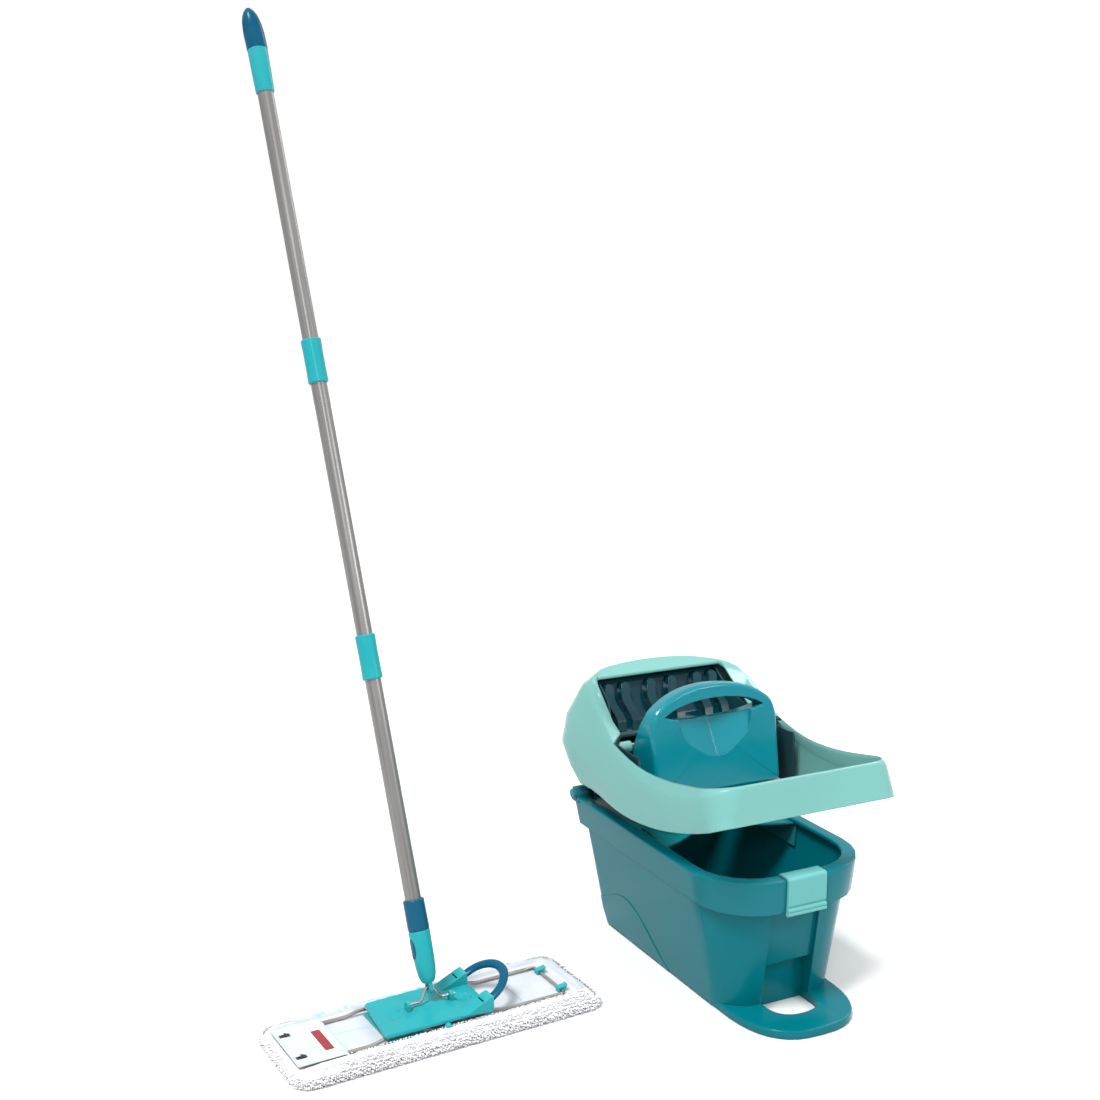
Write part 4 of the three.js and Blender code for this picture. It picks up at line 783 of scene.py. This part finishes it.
def side_pile(draw):
    """Loops on the cover's sides, in rows one above the other."""
    for height, inset, length in SIDE_ROWS:
        for (u, v), (ou, ov), (du, dv) in edge_walk(LOOP_SPACING):
            back = (inset + draw.uniform(-0.6, 0.6)) * MM
            z = (height + draw.uniform(-1.2, 1.2)) * MM
            out = Vector((ou, ov, draw.uniform(-0.15, 0.25))).normalized()
            yield (u - ou * back, v - ov * back, z), out, (du, dv, 0), length * draw.uniform(0.7, 1.15) * MM


def front_pile(draw):
    """Loops that lie over the front edge of the border."""
    run = 2 * (HALF_LONG - FRONT_END)
    for row in range(FRONT_ROWS):
        v = -HALF_WIDE + (7.5 + row * 3.2) * MM
        for i in range(FRONT_LOOPS):
            u = FRONT_END - HALF_LONG + run * (i + draw.uniform(0.2, 0.8)) / FRONT_LOOPS
            if u < THIN_FROM and draw.random() < (THIN_FROM - u) / THIN_OVER + 0.11 * row:
                continue
            z = COVER_TOP - (3.4 - 0.42 * row) * MM
            out = Vector((draw.uniform(-0.3, 0.3), -0.55, 0.6)).normalized()
            yield (u, v + draw.uniform(-1.5, 1.5) * MM, z), out, (1, 0, 0), draw.uniform(2.2, 3.6) * MM


def make_pile():
    """Yarn loops in two pieces, one for each half of the cover, lifted where they would touch the floor."""
    material = pile_yarn()
    draw = random.Random(5)
    parts = {-1: ([], []), 1: ([], [])}
    turn = FRAME_OF_MOP.to_3x3()
    for (u, v, z), out, along, length in [*side_pile(draw), *front_pile(draw)]:
        side = -1 if u < FOLD_U else 1
        spots, faces = parts[side]
        sections = yarn_loop(mop_spot(u, v, z), turn @ out, turn @ Vector(along), Vector((0, 0, 1)),
                             length, draw.uniform(0.72, 1.05) * MM, draw)
        lowest = min(centre.z - radius for centre, radius in sections)
        lift = Vector((0, 0, max(0.0, UNDERSIDE - lowest)))
        yarn_mesh([(centre + lift, radius) for centre, radius in sections], spots, faces)
    for side, name in ((-1, "pile_left"), (1, "pile_right")):
        piece = mesh_object(name, *parts[side], material)
        cloth_map(piece)
        bend_with_wing(piece, side)


# ------------------------------------------------------------------ pocket panel, seams and stitches
PANEL_CELLS = (42, 66)
PANEL_THICK = 1.0 * MM
SLIT_LEFT, SLIT_RIGHT = -206.0 * MM, -192 * MM
SLIT_HALF = 4.2 * MM


def middle_v(node):
    low, high = extent_in_mop(node)
    return (low[1] + high[1]) / 2


def make_pocket():
    """Woven pocket panel with a slit for each hook, sewn over the left end of the frame."""
    material = plain_cloth("pocket_cloth", 0xBDC2C8, 0xB4BAC2, COVER_WEAVE)
    low, high = extent_in_mop("left_pocket_panel")
    slits = [middle_v(node) for node in ("left_hook_back", "left_hook_front")]
    nu, nv = PANEL_CELLS
    u0, u1, v0, v1 = low[0] - 5 * MM, high[0], low[1] - 4 * MM, high[1] + 4 * MM
    top = high[2] + 0.2 * MM
    spots, index = [], {}
    for i in range(nu + 1):
        for k in range(nv + 1):
            u, v = u0 + (u1 - u0) * i / nu, v0 + (v1 - v0) * k / nv
            edge = min(u - u0, v - v0, v1 - v) / (9 * MM)
            drop = 0.5 * MM * (1 - min(1, edge)) ** 2
            sag = 0.35 * MM * math.sin(math.pi * i / nu) * math.sin(math.pi * k / nv)
            index[i, k] = len(spots)
            spots.append(mop_spot(u, v, top - drop - sag))
    faces = []
    for i in range(nu):
        for k in range(nv):
            u, v = u0 + (u1 - u0) * (i + 0.5) / nu, v0 + (v1 - v0) * (k + 0.5) / nv
            in_slit = any(SLIT_LEFT < u < SLIT_RIGHT and abs(v - middle) < SLIT_HALF for middle in slits)
            if not in_slit:
                faces.append((index[i, k], index[i + 1, k], index[i + 1, k + 1], index[i, k + 1]))
    piece = mesh_object("pocket_cloth", spots, faces, material)
    skin = piece.modifiers.new("thickness", "SOLIDIFY")
    skin.thickness = PANEL_THICK
    skin.offset = -1
    apply_modifiers(piece)
    cloth_map(piece)
    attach(piece, "left_wing")
    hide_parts("left_pocket_panel")


STITCH_PITCH = 3.0 * MM
THREAD_RADIUS = 0.28 * MM
# Places along half a stitch, as shares of it, and the thread's rise there in millimetres.
STITCH_PROFILE = ((-1, -0.2), (-0.6, 0.15), (0, 0.28), (0.6, 0.15), (1, -0.2))


def stitch_line(first, last, spots, faces):
    """A row of short thread stitches between two spots of the mop's frame."""
    start, end = Vector(first), Vector(last)
    run = (end - start).length
    along = (end - start).normalized()
    half = along * STITCH_PITCH * 0.34
    for i in range(int(run / STITCH_PITCH)):
        middle = start + along * (i + 0.5) * STITCH_PITCH
        sections = []
        for share, rise in STITCH_PROFILE:
            spot = middle + half * share + Vector((0, 0, rise * MM))
            sections.append((mop_spot(*spot), THREAD_RADIUS))
        yarn_mesh(sections, spots, faces)


def make_stitches():
    """Seams of the pocket panel."""
    material = plain_cloth("stitch_thread", 0xCDD3DC, 0xBFC6D2, 0.0006)
    low, high = extent_in_mop("left_pocket_panel")
    z = high[2] + 0.1 * MM
    inset = 2.2 * MM
    corners = [(high[0] - inset, high[1] + 1.5 * MM), (low[0] - 2 * MM, high[1] + 1.5 * MM),
               (low[0] - 2 * MM, low[1] - 1.5 * MM), (high[0] - inset, low[1] - 1.5 * MM)]
    spots, faces = [], []
    for (u0, v0), (u1, v1) in zip(corners, corners[1:] + corners[:1]):
        stitch_line((u0, v0, z), (u1, v1, z), spots, faces)
    piece = mesh_object("pocket_stitches", spots, faces, material)
    cloth_map(piece)
    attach(piece, "left_wing")


# ------------------------------------------------------------------ studio
FLOOR_REACH = 9.0
FLOOR_STEPS = 8
FLOOR_DROP = 0.5 * MM


def make_floor():
    """Flat square of paper, a little below the object so that the two don't touch."""
    middle = (cad_box[0] + cad_box[1]) / 2
    steps = FLOOR_STEPS
    spots, faces = [], []
    for i in range(steps + 1):
        for k in range(steps + 1):
            right, ahead = 2 * i / steps - 1, 2 * k / steps - 1
            spots.append((middle.x + FLOOR_REACH * right, middle.y + FLOOR_REACH * ahead, 0))
    for i in range(steps):
        for k in range(steps):
            a = i * (steps + 1) + k
            faces.append((a, a + steps + 1, a + steps + 2, a + 1))
    floor = mesh_object("floor", spots, faces, studio_floor())
    floor.location.z = -FLOOR_DROP


def area_light(name, place, target, size, power):
    """Rectangular lamp at a place, turned to a target."""
    data = bpy.data.lights.new(name, "AREA")
    data.shape = "RECTANGLE"
    data.size, data.size_y = size
    data.energy = power
    lamp = put_in_scene(bpy.data.objects.new(name, data))
    lamp.location = place
    lamp.rotation_euler = (Vector(target) - Vector(place)).to_track_quat("-Z", "Y").to_euler()


def sun_light(name, towards, strength, width):
    """Even light from one direction, as wide in the sky as the given number of degrees."""
    data = bpy.data.lights.new(name, "SUN")
    data.energy = strength
    data.angle = math.radians(width)
    lamp = put_in_scene(bpy.data.objects.new(name, data))
    lamp.rotation_euler = Vector(towards).to_track_quat("Z", "Y").to_euler()


def make_world():
    """White surroundings, at full strength to the camera. On the object they dim from above to below."""
    world = bpy.data.worlds.new("studio")
    world.use_nodes = True
    tree = world.node_tree
    direction = tree.nodes.new("ShaderNodeTexCoord")
    height = tree.nodes.new("ShaderNodeSeparateXYZ")
    sky = tree.nodes.new("ShaderNodeMapRange")
    for name, value in (("From Min", -0.2), ("From Max", 0.7), ("To Min", 0.5), ("To Max", 0.9)):
        sky.inputs[name].default_value = value
    tree.links.new(direction.outputs["Generated"], height.inputs[0])
    tree.links.new(height.outputs["Z"], sky.inputs["Value"])
    seen = tree.nodes.new("ShaderNodeMath")
    seen.operation = "MAXIMUM"
    tree.links.new(tree.nodes.new("ShaderNodeLightPath").outputs["Is Camera Ray"], seen.inputs[0])
    tree.links.new(sky.outputs["Result"], seen.inputs[1])
    tree.links.new(seen.outputs[0], tree.nodes["Background"].inputs["Strength"])
    tree.nodes["Background"].inputs["Color"].default_value = (1, 1, 1, 1)
    bpy.context.scene.world = world


def make_lights():
    sun_light("key", (-0.45, -0.22, 1.0), 3.3, 15)
    area_light("window", (-1.0, -1.9, 1.9), (0.25, -0.2, 0.3), (0.3, 0.8), 11)
    area_light("scoop", (1.25, -1.75, 1.5), (0.26, -0.1, 0.38), (0.75, 0.5), 17)
    area_light("strip", (2.0, 0.9, 2.1), (0.25, -0.1, 0.3), (0.4, 1.4), 12)


def make_camera():
    data = bpy.data.cameras.new("camera")
    data.lens = CAMERA_LENS
    data.sensor_width = CAMERA_SENSOR
    camera = put_in_scene(bpy.data.objects.new("camera", data))
    camera.location = joint_place("press_frame_hinge") + CAMERA_FROM_HINGE
    camera.rotation_euler = (math.pi / 2 + CAMERA_PITCH, 0, CAMERA_HEADING)
    bpy.context.scene.camera = camera
    bpy.context.scene.view_settings.view_transform = "Standard"


make_camera()
make_floor()
make_world()
make_lights()
dress_cad_nodes()
make_cover()
make_pile()
make_pocket()
make_stitches()
